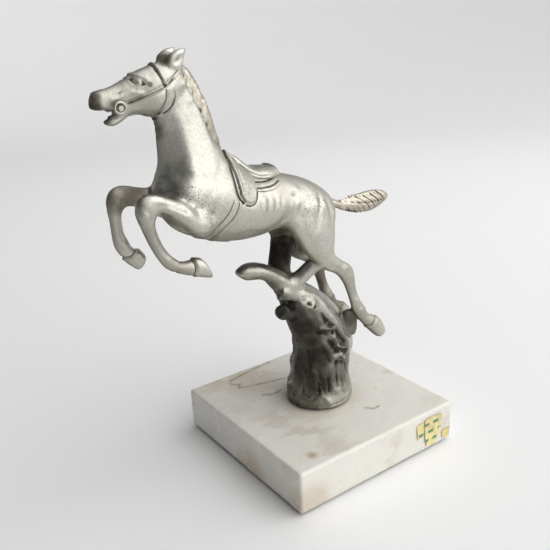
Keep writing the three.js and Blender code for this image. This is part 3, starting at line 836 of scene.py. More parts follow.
@dataclass(frozen=True)
class SteelFinish:
    """Zinc-plated fixings with grey oxide and turning marks."""

    name: str = "zinc_steel"

    def build(self) -> bpy.types.Material:
        """Makes the material."""
        s = Shader(self.name)
        oxide = s.noise(260.0, 5.0, 0.65)
        turned = s.noise(60.0, 2.0, 0.5, s.stretched((0.3, 0.3, 60.0)))
        colour = s.mix(oxide.ease(0.42, 0.66), (0.56, 0.56, 0.55), (0.30, 0.27, 0.23))
        rough = oxide.ease(0.3, 0.7, 0.28, 0.62)
        values = {"Base Color": colour, "Roughness": rough, "Metallic": oxide.ease(0.4, 0.75, 1.0, 0.6)}
        return s.finish(values, [(turned, 0.00004), (oxide, 0.00004)])


@dataclass(frozen=True)
class PaperFinish:
    """Brittle yellowed paper with the remains of green printed blocks."""

    name: str
    paper: Colour = (0.80, 0.70, 0.34)
    ink: Colour = (0.03, 0.20, 0.10)
    printed: float = 1.0

    def build(self) -> bpy.types.Material:
        """Makes the material."""
        s = Shader(self.name)
        fibre = s.noise(1800.0, 4.0, 0.65)
        age = s.noise(170.0, 4.0, 0.6)
        blocks = s.node("ShaderNodeTexBrick", None, {
            "Vector": s.turned_to_side(), "Scale": 1.0, "Mortar Size": 0.0011,
            "Brick Width": 0.0052, "Row Height": 0.0036, "Mortar Smooth": 0.0,
        })
        block = 1.0 - Num(s, blocks.outputs["Fac"])
        ink = block * age.ease(0.42, 0.50) * self.printed
        colour = s.mix(age.ease(0.45, 0.7), self.paper, (0.62, 0.50, 0.27))
        colour = s.mix(ink * 0.85, colour, self.ink)
        colour = s.mix(fibre.ease(0.5, 0.75) * 0.3, colour, (0.86, 0.83, 0.66))
        rough = age.ease(0.3, 0.7, 0.7, 0.92)
        return s.finish({"Base Color": colour, "Roughness": rough}, [(fibre, 0.00006), (age, 0.0002)])


@dataclass(frozen=True)
class FloorFinish:
    """Matt pale paper for the studio floor, painted whiter towards the back as painted light and dark grey to
    the front left as painted shade.
    """

    name: str = "pale_floor"

    def build(self) -> bpy.types.Material:
        """Makes the material."""
        s = Shader(self.name)
        tooth = s.noise(700.0, 3.0)
        apart = s.node("ShaderNodeSeparateXYZ", None, {0: s.place})
        x, y = (Num(s, apart.outputs[name]) for name in ("X", "Y"))
        # Painted light: the floor is painted whiter towards the back.
        away = (y * 0.57 - x * 0.82).ease(-0.15, 0.55)
        # Painted shade: the floor is painted dark grey to the front left.
        painted_floor_shade = (x * -0.284 - y - 0.135).ease(0.0, 0.20)
        colour = s.mix(tooth, (0.84, 0.84, 0.845), (0.87, 0.87, 0.87))
        colour = s.mix(away, colour, (1.0, 1.0, 1.0))
        colour = s.mix(painted_floor_shade, colour, (0.42, 0.42, 0.42))
        return s.finish({"Base Color": colour, "Roughness": 0.9}, [(tooth, 0.00003)])


# ---- studio ----------------------------------------------------------------------------------------
@dataclass
class Studio:
    """Camera, pale floor with a raised rim, and soft light from the right and above."""

    place: tuple[float, float, float] = (0.2013, -0.1583, 0.1682)
    azimuth: float = 55.146
    elevation: float = 20.802
    roll: float = 2.714
    lens: float = 46.73
    flat_radius: float = 0.75
    rim_radius: float = 0.5

    def camera(self) -> None:
        """Places the camera."""
        az, el, roll = (math.radians(v) for v in (self.azimuth, self.elevation, self.roll))
        right = Vector((math.cos(az), math.sin(az), 0.0))
        back = Vector((math.sin(az) * math.cos(el), -math.cos(az) * math.cos(el), math.sin(el)))
        up = back.cross(right)
        x = right * math.cos(roll) - up * math.sin(roll)
        y = right * math.sin(roll) + up * math.cos(roll)
        data = bpy.data.cameras.new("camera")
        data.lens = self.lens
        data.sensor_width = 36.0
        data.clip_start = 0.01
        made = linked("camera", data)
        made.matrix_world = Matrix.Translation(self.place) @ Matrix((x, y, back)).transposed().to_4x4()
        bpy.context.scene.camera = made

    def floor(self) -> None:
        """Makes a round floor whose rim curves up."""
        count = 96
        rings = [(0.02 * k * k * self.flat_radius / 0.5, 0.0) for k in range(1, 6)]
        for k in range(13):
            turn = math.radians(5.0 * k)
            out = self.flat_radius + self.rim_radius * math.sin(turn)
            rings.append((out, self.rim_radius * (1.0 - math.cos(turn))))
        points = [(0.0, 0.0, 0.0)]
        for radius, height in rings:
            for j in range(count):
                angle = 2.0 * math.pi * j / count
                points.append((radius * math.cos(angle), radius * math.sin(angle), height))
        faces = [(0, 1 + j, 1 + k) for j, k in around(count)]
        for start in range(1, 1 + (len(rings) - 1) * count, count):
            faces += [(start + j, start + j + count, start + k + count, start + k) for j, k in around(count)]
        mesh = bpy.data.meshes.new("studio_floor")
        mesh.from_pydata(points, [], faces)
        mesh.shade_smooth()
        mesh.materials.append(FloorFinish().build())
        linked("studio_floor", mesh)

    def lamp(self, name: str, place: Sequence[float], size: float, watts: float, tint: Colour) -> None:
        """Hangs a square soft light that faces the figure."""
        data = bpy.data.lights.new(name, "AREA")
        data.shape = "SQUARE"
        data.size = size
        data.energy = watts
        data.color = tint
        aim = Vector((0.0, -0.01, 0.08)) - Vector(place)
        turned = aim.to_track_quat("-Z", "Y").to_matrix().to_4x4()
        linked(name, data).matrix_world = Matrix.Translation(place) @ turned

    def sky(self) -> None:
        """Lights the room: pale overhead and to the right, dim to the front left."""
        world = bpy.data.worlds.new("studio")
        bpy.context.scene.world = world
        world.use_nodes = True
        tree = world.node_tree
        place = tree.nodes.new("ShaderNodeTexCoord")
        dot = tree.nodes.new("ShaderNodeVectorMath")
        dot.operation = "DOT_PRODUCT"
        dot.inputs[1].default_value = Vector((0.62, 0.62, 0.48)).normalized()
        ramp = tree.nodes.new("ShaderNodeValToRGB")
        stops = ramp.color_ramp.elements
        stops[0].position, stops[0].color = 0.22, (0.06, 0.06, 0.062, 1.0)
        stops[1].position, stops[1].color = 0.86, (1.0, 1.0, 1.0, 1.0)
        middle = stops.new(0.55)
        middle.color = (0.10, 0.10, 0.105, 1.0)
        shift = tree.nodes.new("ShaderNodeMath")
        shift.operation = "MULTIPLY_ADD"
        shift.inputs[1].default_value = 0.5
        shift.inputs[2].default_value = 0.5
        tree.links.new(place.outputs["Generated"], dot.inputs[0])
        tree.links.new(dot.outputs["Value"], shift.inputs[0])
        tree.links.new(shift.outputs[0], ramp.inputs[0])
        back = tree.nodes["Background"]
        tree.links.new(ramp.outputs["Color"], back.inputs["Color"])
        back.inputs["Strength"].default_value = 0.8

    def build(self) -> None:
        """Sets up the whole studio."""
        self.camera()
        self.floor()
        self.lamp("window", (0.62, 0.42, 0.55), 1.25, 7.2, (1.0, 0.99, 0.97))
        self.lamp("overhead", (-0.05, 0.25, 0.95), 0.9, 2.6, (1.0, 1.0, 1.0))
        self.sky()
        bpy.context.scene.view_settings.view_transform = "Standard"


# ---- the horse -------------------------------------------------------------------------------------
class Side(Enum):
    """Which flank a carved detail is on."""

    BOTH = 0
    NEAR = 1
    OFF = -1


@dataclass(frozen=True)
class Stroke:
    """A carved line: a ridge, or a groove where its height is negative."""

    course: Line
    width: float
    height: float
    fade: float = 1.0
    side: Side = Side.BOTH


@dataclass(frozen=True)
class Swell:
    """A soft oval muscle or bone, or a hollow where its height is negative."""

    centre: Point
    radii: Point
    height: float
    turn: float = 0.0
    side: Side = Side.BOTH


THROAT_LASH = [(-57.7, 146.0), (-57.9, 143.0), (-59.3, 140.0), (-60.9, 136.6)]

# The first two swells are the eye's socket and ball. The head's strokes run from the lids, the cheek and
# the mouth to the grooves beside the bridle's straps and the long muscles of the neck.
HEAD_SWELLS = (
    Swell((-65.9, 148.4), (3.0, 1.7), -0.8, -24),
    Swell((-65.9, 148.6), (1.25, 0.95), 1.3, -24),
    Swell((-61.0, 151.2), (2.2, 1.2), -0.3, -10),
    Swell((-60.2, 142.6), (4.6, 3.6), 0.4),
    Swell((-78.4, 145.4), (1.3, 0.6), -0.3, 50),
    Swell((-71.5, 142.9), (3.6, 1.1), -0.3, 8),
    Swell((-71.8, 146.0), (3.2, 1.2), -0.25, 14),
    Swell((-78.2, 143.0), (1.4, 3.0), 0.3, 12),
)
HEAD_STROKES = (
    Stroke([(-69.4, 150.0), (-67.4, 150.9), (-64.9, 150.3), (-62.4, 148.4)], 0.8, 0.55),
    Stroke([(-68.6, 149.6), (-66.7, 150.0), (-64.7, 149.2), (-63.2, 147.6)], 0.45, 0.4, 0.4),
    Stroke([(-68.5, 149.3), (-67.0, 147.6), (-65.0, 147.1), (-63.2, 147.4)], 0.45, 0.45, 0.4),
    Stroke([(-67.6, 146.6), (-65.6, 145.9), (-63.4, 146.3)], 0.5, -0.18),
    Stroke([(-76.0, 144.4), (-72.5, 144.9), (-68.6, 145.9), (-64.2, 145.0)], 1.0, 0.4, 2.0),
    Stroke([(-76.2, 147.0), (-72.0, 148.0), (-69.6, 148.9)], 0.6, -0.25),
    Stroke([(-79.3, 146.1), (-78.0, 146.6), (-77.2, 145.6), (-77.9, 144.3)], 0.5, 0.16, 0.6),
    Stroke([(-80.6, 141.4), (-77.6, 141.2), (-75.2, 140.8), (-73.3, 140.2)], 0.75, -1.0, 0.3),
    Stroke([(-79.4, 142.7), (-76.9, 142.6), (-74.4, 141.9)], 0.6, 0.28),
    Stroke([(-76.6, 138.9), (-74.8, 139.3), (-73.0, 139.3)], 0.5, 0.3),
    Stroke([(-55.4, 146.0), (-54.9, 143.4), (-56.2, 140.4), (-59.2, 138.2)], 0.6, -0.3),
    Stroke([(-71.6, 142.4), (-67.6, 143.5), (-64.6, 144.6), (-58.6, 146.6), (-53.6, 150.0)], 1.2, -0.5, 3.0),
    Stroke(THROAT_LASH, 1.0, -0.36, 0.4),
    Stroke([(-58.4, 146.9), (-59.2, 149.4), (-59.9, 152.4), (-60.3, 156.0)], 0.8, -0.32, 0.0),
    Stroke([(-64.4, 138.8), (-61.6, 137.9), (-58.8, 138.3)], 0.7, 0.3),
    Stroke([(-58.6, 136.4), (-57.4, 130.0), (-57.2, 123.0), (-58.4, 116.5)], 2.4, -0.3, 4.0),
    Stroke([(-54.6, 140.0), (-53.4, 132.0), (-52.8, 124.0), (-53.6, 117.0)], 2.8, 0.35, 4.0),
    Stroke([(-50.4, 142.5), (-48.7, 135.0), (-46.8, 128.0), (-45.2, 122.5)], 2.4, -0.25, 4.0),
    Stroke([(-60.4, 133.5), (-58.9, 135.6), (-57.6, 136.3)], 0.6, -0.15, 0.8),
    Stroke([(-60.6, 130.6), (-59.2, 132.5), (-57.6, 133.3)], 0.6, -0.12, 0.8),
)
# Chest, shoulder, point of the hip, flank and haunch; then the muscles' edges and the ribs between them.
BODY_SWELLS = (
    Swell((-58.2, 112.5), (4.6, 5.2), 0.45),
    Swell((-47.5, 113.0), (4.6, 5.6), 0.35, 35),
    Swell((-50.5, 104.3), (3.2, 2.6), 0.5, 20),
    Swell((-15.0, 108.6), (2.6, 1.8), 0.5, -15),
    Swell((-19.6, 107.2), (2.0, 2.6), -0.35, 20),
    Swell((-8.5, 101.5), (6.5, 5.4), 0.35, -30),
    Swell((-15.8, 95.8), (3.0, 2.6), 0.4),
    Swell((2.4, 97.0), (2.8, 5.2), 0.35),
    Swell((-7.8, 88.5), (3.6, 3.0), -0.3),
)
BODY_STROKES = (
    Stroke([(-42.0, 122.0), (-46.5, 116.5), (-51.8, 111.2), (-57.4, 108.0)], 2.6, -0.25, 3.0),
    Stroke([(-44.0, 117.5), (-46.5, 112.0), (-49.4, 107.4), (-50.0, 102.0)], 2.6, -0.3, 3.0),
    Stroke([(-58.8, 114.6), (-56.6, 111.0), (-55.0, 107.0), (-54.0, 104.0)], 2.2, -0.28, 3.0),
    Stroke([(-50.6, 100.8), (-47.4, 98.0), (-46.0, 94.6)], 1.4, -0.3),
    Stroke([(-30.6, 109.4), (-30.9, 105.6), (-31.8, 102.2)], 1.1, -0.14, 2.4),
    Stroke([(-29.1, 109.6), (-29.3, 106.0), (-30.2, 102.0)], 1.0, 0.34, 2.4),
    Stroke([(-27.4, 109.8), (-27.7, 106.2), (-28.7, 101.8)], 1.1, -0.16, 2.4),
    Stroke([(-25.9, 109.6), (-26.2, 106.0), (-27.2, 101.8)], 1.0, 0.34, 2.4),
    Stroke([(-24.4, 109.0), (-24.8, 105.4), (-26.0, 101.6)], 1.1, -0.16, 2.4),
    Stroke([(-22.8, 108.4), (-23.2, 105.4), (-24.2, 102.0)], 1.0, 0.3, 2.0),
    Stroke([(-21.4, 107.9), (-22.0, 105.0), (-22.8, 102.6)], 1.1, -0.14, 1.6),
    Stroke(
        [(-13.4, 107.4), (-16.6, 106.4), (-18.4, 103.4), (-20.0, 100.0), (-22.6, 96.8), (-26.0, 94.8)],
        2.6, -0.5, 3.0,
    ),
    Stroke([(-13.4, 105.4), (-15.8, 103.4), (-17.4, 99.8), (-19.0, 96.6)], 2.0, 0.4, 2.0),
    Stroke([(-3.6, 106.6), (-5.4, 101.5), (-7.4, 96.0), (-8.6, 90.6)], 2.0, -0.4, 3.5),
    Stroke([(-2.2, 106.6), (-0.6, 100.5), (-0.6, 94.0), (-2.2, 87.6)], 1.8, -0.22, 3.5),
    Stroke([(-13.6, 98.4), (-12.4, 92.6), (-9.6, 87.4), (-6.4, 82.6)], 1.8, -0.25, 3.0),
    Stroke([(-24.4, 95.8), (-31.0, 96.6), (-37.0, 98.2)], 1.4, -0.2, 2.0),
)
# Tendons, joints and the rims of the hooves, on the flank whose leg they belong to.
LEG_STROKES = (
    Stroke([(-58.6, 109.4), (-64.4, 112.6), (-69.4, 114.2)], 0.8, -0.4, 1.5),
    Stroke([(-73.0, 113.4), (-70.8, 111.4), (-70.6, 108.4)], 0.8, -0.35),
    Stroke([(-69.6, 105.0), (-67.4, 99.6), (-65.2, 95.8)], 0.7, -0.45, 1.0, Side.NEAR),
    Stroke([(-72.4, 104.8), (-72.2, 100.6), (-71.6, 97.4)], 0.7, -0.45, 1.0, Side.OFF),
    Stroke([(-63.6, 90.2), (-61.8, 92.0), (-61.2, 94.2)], 0.6, -0.35, 0.4, Side.NEAR),
    Stroke([(-57.6, 86.4), (-57.0, 90.4), (-57.2, 94.6)], 0.5, -0.55, 0.0, Side.NEAR),
    Stroke([(-56.7, 86.4), (-56.1, 90.2), (-56.4, 94.6)], 0.5, 0.32, 0.0, Side.NEAR),
    Stroke([(-73.4, 92.6), (-69.6, 93.0), (-66.4, 95.6)], 0.5, -0.55, 0.0, Side.OFF),
    Stroke([(-72.6, 91.4), (-69.4, 91.9), (-65.6, 94.4)], 0.5, 0.32, 0.0, Side.OFF),
    Stroke([(4.4, 77.0), (6.6, 74.6), (9.4, 71.4)], 0.8, -0.4),
    Stroke([(-2.0, 77.8), (1.0, 76.4), (4.0, 75.0)], 0.8, -0.3),
    Stroke([(10.2, 69.6), (11.4, 64.6), (12.4, 59.6)], 0.6, -0.42, 1.2),
    Stroke([(12.0, 55.2), (14.6, 56.4), (17.2, 55.6)], 0.6, -0.3),
    Stroke([(17.2, 46.8), (20.2, 47.6), (23.6, 50.6)], 0.5, -0.55, 0.0, Side.NEAR),
    Stroke([(18.2, 45.8), (20.8, 46.8), (24.4, 49.6)], 0.5, 0.32, 0.0, Side.NEAR),
    Stroke([(15.6, 47.4), (18.6, 48.2), (22.0, 51.2)], 0.5, -0.55, 0.0, Side.OFF),
    Stroke([(16.6, 46.4), (19.2, 47.4), (22.8, 50.2)], 0.5, 0.32, 0.0, Side.OFF),
)
LEG_SWELLS = (
    Swell((-72.2, 111.4), (2.2, 2.4), 0.35),
    Swell((-61.4, 91.4), (1.6, 1.6), 0.35, 0.0, Side.NEAR),
    Swell((-71.6, 96.0), (1.8, 1.6), 0.35, 0.0, Side.OFF),
    Swell((-66.0, 110.4), (3.4, 1.8), 0.3, 30),
    Swell((7.4, 74.6), (2.6, 1.8), 0.35, -25),
    Swell((14.4, 55.0), (2.4, 1.8), 0.35),
)
CREST = [(-50.4, 151.4), (-47.8, 148.0), (-44.9, 142.2), (-42.7, 136.4), (-41.0, 130.4), (-39.4, 125.8)]
TAIL_ROOT = [(6.0, 100.6), (13.0, 99.0), (22.0, 97.6), (31.0, 98.0)]
TAIL_UNDER = [(8.0, 96.6), (14.5, 94.0), (21.5, 91.6), (28.6, 89.6), (34.4, 90.6), (38.8, 95.0)]


def tail_strokes() -> list[Stroke]:
    """The strands of the tail, which slant from its upper edge to its lower edge."""
    over, under = smooth_line(TAIL_ROOT, 5), smooth_line(TAIL_UNDER, 5)
    strokes = []
    for k, (top, low) in enumerate(zip(over, under[6:])):
        bow = ((top[0] + low[0]) / 2 + 0.8, (top[1] + low[1]) / 2 + 0.5)
        end = (low[0] + 0.5, low[1] - 1.0)
        strokes.append(Stroke([top, bow, low, end], 0.6, -0.85 if k % 2 else -0.55, 0.2))
    return strokes + [Stroke([(7.0, 98.6), (15.0, 96.6), (24.0, 94.6), (34.0, 94.2)], 0.5, -0.4, 1.0)]


def mane_strokes() -> list[Stroke]:
    """Fine strands that leave the crest one after another and run down to the withers."""
    strokes = []
    for k in range(6):
        inset = 0.6 + 0.6 * k
        course = [(y - inset * (0.5 + 0.08 * j), z - inset * 0.3) for j, (y, z) in enumerate(CREST)]
        strokes.append(Stroke(course, 0.4, -0.3, 3.0))
    return strokes


@dataclass(frozen=True)
class Support:
    """A cast prop between the horse and the stump.

    Its plate gets an even painted shade, from 0 for lit to 1 for shaded. Its fillets are about as wide as
    flare, and they spread no further from the node than reach, which stays under BAND.
    """

    node: str
    swell: float
    flare: float
    reach: float
    deep: float


# Each prop's last number is its painted shade: the near strut is painted light, the off strut and the web
# dark.
SUPPORTS = (
    Support("near_support_strut", 0.8, 2.6, 2.8, 0.1),
    Support("off_support_strut", 1.3, 3.4, 3.3, 0.9),
    Support("fetlock_web", -0.2, 1.4, 1.5, 1.0),
)


@dataclass
class Horse:
    """The leaping horse, sculpted from distances to its CAD castings."""

    solids: Solids
    softness: dict[str, float] = field(default_factory=lambda: {
        "body_casting": 1.25, "head_and_neck": 0.62, "mane": 0.5, "near_ear": 0.22, "off_ear": 0.22,
        "near_foreleg": 0.5, "off_foreleg": 0.5, "near_hindleg": 0.55, "off_hindleg": 0.55, "tail": 0.5,
        "near_support_strut": 0.5, "off_support_strut": 0.5, "fetlock_web": 1.2,
    })
    fillets: dict[str, float] = field(default_factory=lambda: {
        "head_and_neck": 3.2, "mane": 0.9, "near_foreleg": 2.4, "off_foreleg": 2.4,
        "near_hindleg": 2.6, "off_hindleg": 2.6,
    })
    fillet: float = 1.4
    overlap: float = 0.3
    seam_step: float = 0.03  # overlapping neighbours' surfaces differ by this, so that they never coincide
    seam_ranks: int = 4
    poll: float = 151.0  # the ears and the poll are above this

    def parts(self, block: Block) -> dict[str, np.ndarray]:
        """Softened distances to each casting near a block."""
        near = [name for name in self.softness if self.solids.near(name, block)]
        return {
            name: blurred(self.solids.distance(name, block), self.softness[name] / block.step)
            for name in near
        }

    def relief(self, block: Block) -> np.ndarray:
        """Carved detail over a block, in millimetres."""
        sheets = {side: Relief(block) for side in Side}
        strokes = [*HEAD_STROKES, *BODY_STROKES, *LEG_STROKES, *FLAP_SHADOW, *tail_strokes(), *mane_strokes()]
        for stroke in strokes:
            if sheets[stroke.side].touched_by(stroke.course):
                sheets[stroke.side].draw(stroke)
        for swell in (*HEAD_SWELLS, *BODY_SWELLS, *LEG_SWELLS):
            sheets[swell.side].patch(swell.centre, swell.radii, swell.height, swell.turn)
        x = block.axis(0)
        near, off = eased(x, -0.6, 0.6), eased(-x, -0.6, 0.6)
        total = sheets[Side.BOTH].height[None] + near * sheets[Side.NEAR].height[None]
        return total + off * sheets[Side.OFF].height[None]

    def ear_bowls(self, block: Block, shape: np.ndarray) -> np.ndarray:
        """Fills the poll between the ears, and carves the hollow of each ear."""
        x, y, z = block.xyz()
        a, b, c = x / 2.6, (y + 54.4) / 3.0, (z - 154.0) / 2.3
        shape = soft_min(shape, oval(a, b, c, 2.3), 1.0)
        for side in (1.0, -1.0):
            a = ((y + 52.6) * 0.82 + (z - 153.9) * 0.57) / 2.5
            b = ((z - 153.9) * 0.82 - (y + 52.6) * 0.57) / 1.1
            c = (x * side - 5.3) / 1.3
            shape = soft_max(shape, -oval(a, b, c, 1.1), 0.4)
        return shape

    def shape(self, block: Block) -> tuple[np.ndarray, dict[str, np.ndarray]]:
        """The whole horse over a block.

        Returns:
            Its distances, and the softened distances to each casting.
        """
        parts = self.parts(block)
        whole = None
        for name, values in parts.items():
            reach = self.fillets.get(name, self.fillet)
            whole = values if whole is None else soft_min(whole, values, reach)
        if whole is None:
            return np.full(block.shape, FAR, np.float32), parts
        whole = whole - self.relief(block)
        if block.axis(2).max() > self.poll:
            whole = self.ear_bowls(block, whole)
        return whole, parts

    def block_for(self, nodes: Sequence[str], step: float, margin: float = 2.2) -> Block:
        """A block about some nodes."""
        boxes = [self.solids.boxes[name] for name in nodes]
        low = np.min([b[0] for b in boxes], axis=0) - margin
        high = np.max([b[1] for b in boxes], axis=0) + margin
        return Block(low, high, step, 2)

    def support(self, prop: Support, stump: "Stump", finish: bpy.types.Material) -> None:
        """Makes a support that runs smoothly into the horse above and the stump below.

        Args:
            prop: What to make.
            stump: What it stands on.
            finish: Its material.
        """
        block = self.block_for([prop.node], BODY_STEP, prop.reach + 1.6)
        whole, parts = self.shape(block)
        swollen = parts[prop.node] - prop.swell
        whole = soft_min(soft_min(whole, swollen, prop.flare), stump.shape(block), prop.flare + 0.6)
        piece = np.maximum(whole + 0.02, parts[prop.node] - prop.reach)
        skin = skin_of(block, piece, whole)
        made = SculptedPiece(f"{prop.node}_cast", skin, Body.FIGURE, Slot.DARK_PLATE, [prop.node])
        # An even painted shade over the whole prop.
        made.dress(finish, hollow=skin.hollow * 0.6, deep=np.full(len(skin.points), prop.deep))
        made.smooth_normals()

    def casting(self, name: str, step: float, finish: bpy.types.Material, slot: Slot) -> None:
        """Makes one casting, which overlaps its neighbours out of sight.

        Args:
            name: Its CAD node.
            step: Grid step.
            finish: Its material.
            slot: The record's material slot. Not used.
        """
        block = self.block_for([name], step)
        whole, parts = self.shape(block)
        whole = self.locks(name, block, whole)
        others = [values for key, values in parts.items() if key != name]
        rank = list(self.softness).index(name) % self.seam_ranks
        piece = whole + self.seam_step * rank
        if others:
            share = (parts[name] - np.minimum.reduce(others)) * 0.5
            piece = np.maximum(piece, share - self.overlap)
        made = SculptedPiece(f"{name}_cast", skin_of(block, piece, whole), Body.FIGURE, slot, [name])
        made.dress(finish, hollow=made.skin.hollow)
        made.smooth_normals()

    def locks(self, name: str, block: Block, whole: np.ndarray) -> np.ndarray:
        """Adds the swept locks of hair to the mane."""
        if name not in ("mane", "head_and_neck"):
            return whole
        key = ("mane_locks", block.step)
        if key not in self.solids.grids:
            self.solids.grids[key] = level_set(ManeLocks().mesh(block, whole), block.step, LOCK_BAND)
        return soft_min(whole, block.read(self.solids.grids[key]), 0.35)


class Sweep:
    """A Geometry Nodes tree that sweeps a round section along every spline of a curve."""

    def __init__(self, name: str, sides: int) -> None:
        """Builds the tree.

        Args:
            name: The tree's name.
            sides: How many sides the section has.
        """
        self.tree = bpy.data.node_groups.new(name, "GeometryNodeTree")
        face = self.tree.interface
        face.new_socket(name="Path", in_out="INPUT", socket_type="NodeSocketGeometry")
        self.radius = face.new_socket(name="Radius", in_out="INPUT", socket_type="NodeSocketFloat")
        self.finish = face.new_socket(name="Finish", in_out="INPUT", socket_type="NodeSocketMaterial")
        face.new_socket(name="Swept", in_out="OUTPUT", socket_type="NodeSocketGeometry")
        start = self.tree.nodes.new("NodeGroupInput")
        end = self.tree.nodes.new("NodeGroupOutput")
        section = self.tree.nodes.new("GeometryNodeCurvePrimitiveCircle")
        section.inputs["Resolution"].default_value = sides
        sweep = self.tree.nodes.new("GeometryNodeCurveToMesh")
        sweep.inputs["Fill Caps"].default_value = True
        real = self.tree.nodes.new("GeometryNodeRealizeInstances")
        coat = self.tree.nodes.new("GeometryNodeSetMaterial")
        link = self.tree.links.new
        link(start.outputs["Radius"], section.inputs["Radius"])
        link(start.outputs["Path"], sweep.inputs["Curve"])
        link(section.outputs["Curve"], sweep.inputs["Profile Curve"])
        link(sweep.outputs["Mesh"], real.inputs["Geometry"])
        link(real.outputs["Geometry"], coat.inputs["Geometry"])
        link(start.outputs["Finish"], coat.inputs["Material"])
        link(coat.outputs["Geometry"], end.inputs["Swept"])

    def run(
        self, name: str, paths: Sequence[np.ndarray], widths: Callable[[float], float], radius: float,
        material: bpy.types.Material | None = None, closed: bool = False,
    ) -> bpy.types.Mesh:
        """Sweeps along some paths.

        Args:
            name: The mesh's name.
            paths: Points in millimetres, one array each.
            widths: The section's share of the radius at 0 to 1 along a path.
            radius: The section's radius in millimetres.
            material: Its finish.
            closed: Whether each path is a loop.

        Returns:
            A plain mesh in metres.
        """
        curve = bpy.data.curves.new(name, "CURVE")
        curve.dimensions = "3D"
        for path in paths:
            spline = curve.splines.new("POLY")
            spline.points.add(len(path) - 1)
            for k, point in enumerate(path):
                spline.points[k].co = (*(point * MM), 1.0)
                spline.points[k].radius = widths(k / (len(path) - 1))
            spline.use_cyclic_u = closed
        made = linked(name, curve)
        modifier = made.modifiers.new("sweep", "NODES")
        modifier.node_group = self.tree
        modifier[self.radius.identifier] = radius * MM
        if material:
            modifier[self.finish.identifier] = material
        bpy.context.view_layer.update()
        graph = bpy.context.evaluated_depsgraph_get()
        mesh = bpy.data.meshes.new_from_object(made.evaluated_get(graph))
        bpy.data.objects.remove(made)
        return mesh


@dataclass
class ManeLocks:
    """Long fine locks that lie along the crest and comb down its sides."""

    crest: Line = (
        (-50.0, 151.6), (-47.6, 148.4), (-44.6, 142.4), (-42.4, 136.6), (-40.7, 130.4), (-39.0, 125.6),
    )
    locks: int = 34
    drop: float = 6.0
    radius: float = 0.42

    def guides(self, block: Block, skin: np.ndarray) -> list[np.ndarray]:
        """Lays each lock on the neck.

        Args:
            block: The grid.
            skin: Distances to the neck.

        Returns:
            Points for each lock.
        """
        rng = np.random.default_rng(11)
        crest = np.array(smooth_line(self.crest, 12))
        slopes = [np.asarray(g) for g in np.gradient(skin, block.step)]
        guides = []
        for side in (1.0, -1.0):
            for k in range(self.locks):
                start = k / self.locks * 0.86 + rng.uniform(-0.01, 0.01)
                length = rng.uniform(0.16, 0.28)
                drop = self.drop * rng.uniform(0.3, 1.0)
                points = []
                for t in np.linspace(0.0, 1.0, 12):
                    at = min(start + length * t, 0.999) * (len(crest) - 1)
                    whole = int(at)
                    onward = crest[min(whole + 1, len(crest) - 1)]
                    base = crest[whole] + (onward - crest[whole]) * (at - whole)
                    slide = drop * t ** 1.3
                    points.append((side * (0.5 + 2.2 * t), base[0] - slide, base[1] - slide * 0.35))
                path = np.array(points)
                for _ in range(5):
                    level = block.sample(skin, path)
                    slope = np.stack([block.sample(g, path) for g in slopes], 1)
                    slope /= np.linalg.norm(slope, axis=1, keepdims=True) + 1e-6
                    path = path - slope * (level - 0.08)[:, None]
                guides.append(path)
        return guides

    def mesh(self, block: Block, skin: np.ndarray) -> bpy.types.Mesh:
        """Sweeps the locks."""
        return Sweep("mane_lock_sweep", 8).run(
            "mane_locks", self.guides(block, skin), self.swelling, self.radius
        )

    @staticmethod
    def swelling(t: float) -> float:
        """A lock's share of its widest radius: thin at both ends."""
        return 0.35 + 0.65 * math.sin(math.pi * t)


# ---- tack ------------------------------------------------------------------------------------------
@dataclass(frozen=True)
class TackPiece:
    """A cast strap or panel that lies on the hide inside an outline."""

    node: str
    outline: Line
    rise: float
    side: Side
    lines: tuple[Stroke, ...] = ()
    edge: float = 0.35


FLAP = [
    (-38.0, 125.0), (-37.8, 120.4), (-38.6, 115.0), (-38.5, 111.2), (-37.0, 108.6), (-34.8, 107.7),
    (-32.8, 108.3), (-31.2, 110.9), (-29.6, 115.4), (-28.4, 119.5), (-31.0, 123.4),
]
FLAP_LINES = (
    Stroke([(-37.3, 121.6), (-37.9, 115.6), (-37.8, 111.8)], 0.6, 0.14),
    Stroke([(-36.2, 121.6), (-36.8, 115.6), (-36.6, 111.8)], 0.5, -0.07),
)
FLAP_SHADOW = (
    Stroke([(-38.4, 124.6), (-38.4, 120.4), (-39.3, 115.0), (-39.2, 110.9), (-37.4, 107.8)], 0.8, -0.7, 0.6),
    Stroke([(-37.4, 107.8), (-34.8, 106.8), (-32.3, 107.5), (-30.5, 110.6)], 0.6, -0.45, 0.6),
)
CLOTH = [
    (-28.8, 120.8), (-29.9, 115.2), (-31.2, 112.0), (-30.6, 110.5), (-27.0, 109.9), (-23.4, 109.9),
    (-19.6, 110.9), (-18.6, 114.0), (-20.0, 120.0),
]
CLOTH_LINES = (
    Stroke([(-31.0, 111.6), (-27.4, 111.1), (-23.4, 111.1), (-19.2, 112.1)], 0.35, -0.4, 0.0),
    Stroke([(-31.2, 113.6), (-27.4, 112.8), (-23.4, 112.7), (-18.8, 113.7)], 0.4, -0.45, 0.0),
    Stroke([(-31.2, 112.6), (-27.4, 112.0), (-23.4, 111.9), (-19.0, 112.9)], 0.4, 0.25, 0.0),
)
GIRTH = [
    (-41.2, 110.2), (-43.8, 106.2), (-46.8, 102.4), (-50.6, 99.2), (-49.8, 91.6), (-39.4, 88.6),
    (-38.8, 98.2), (-35.9, 102.4), (-34.2, 108.0),
]
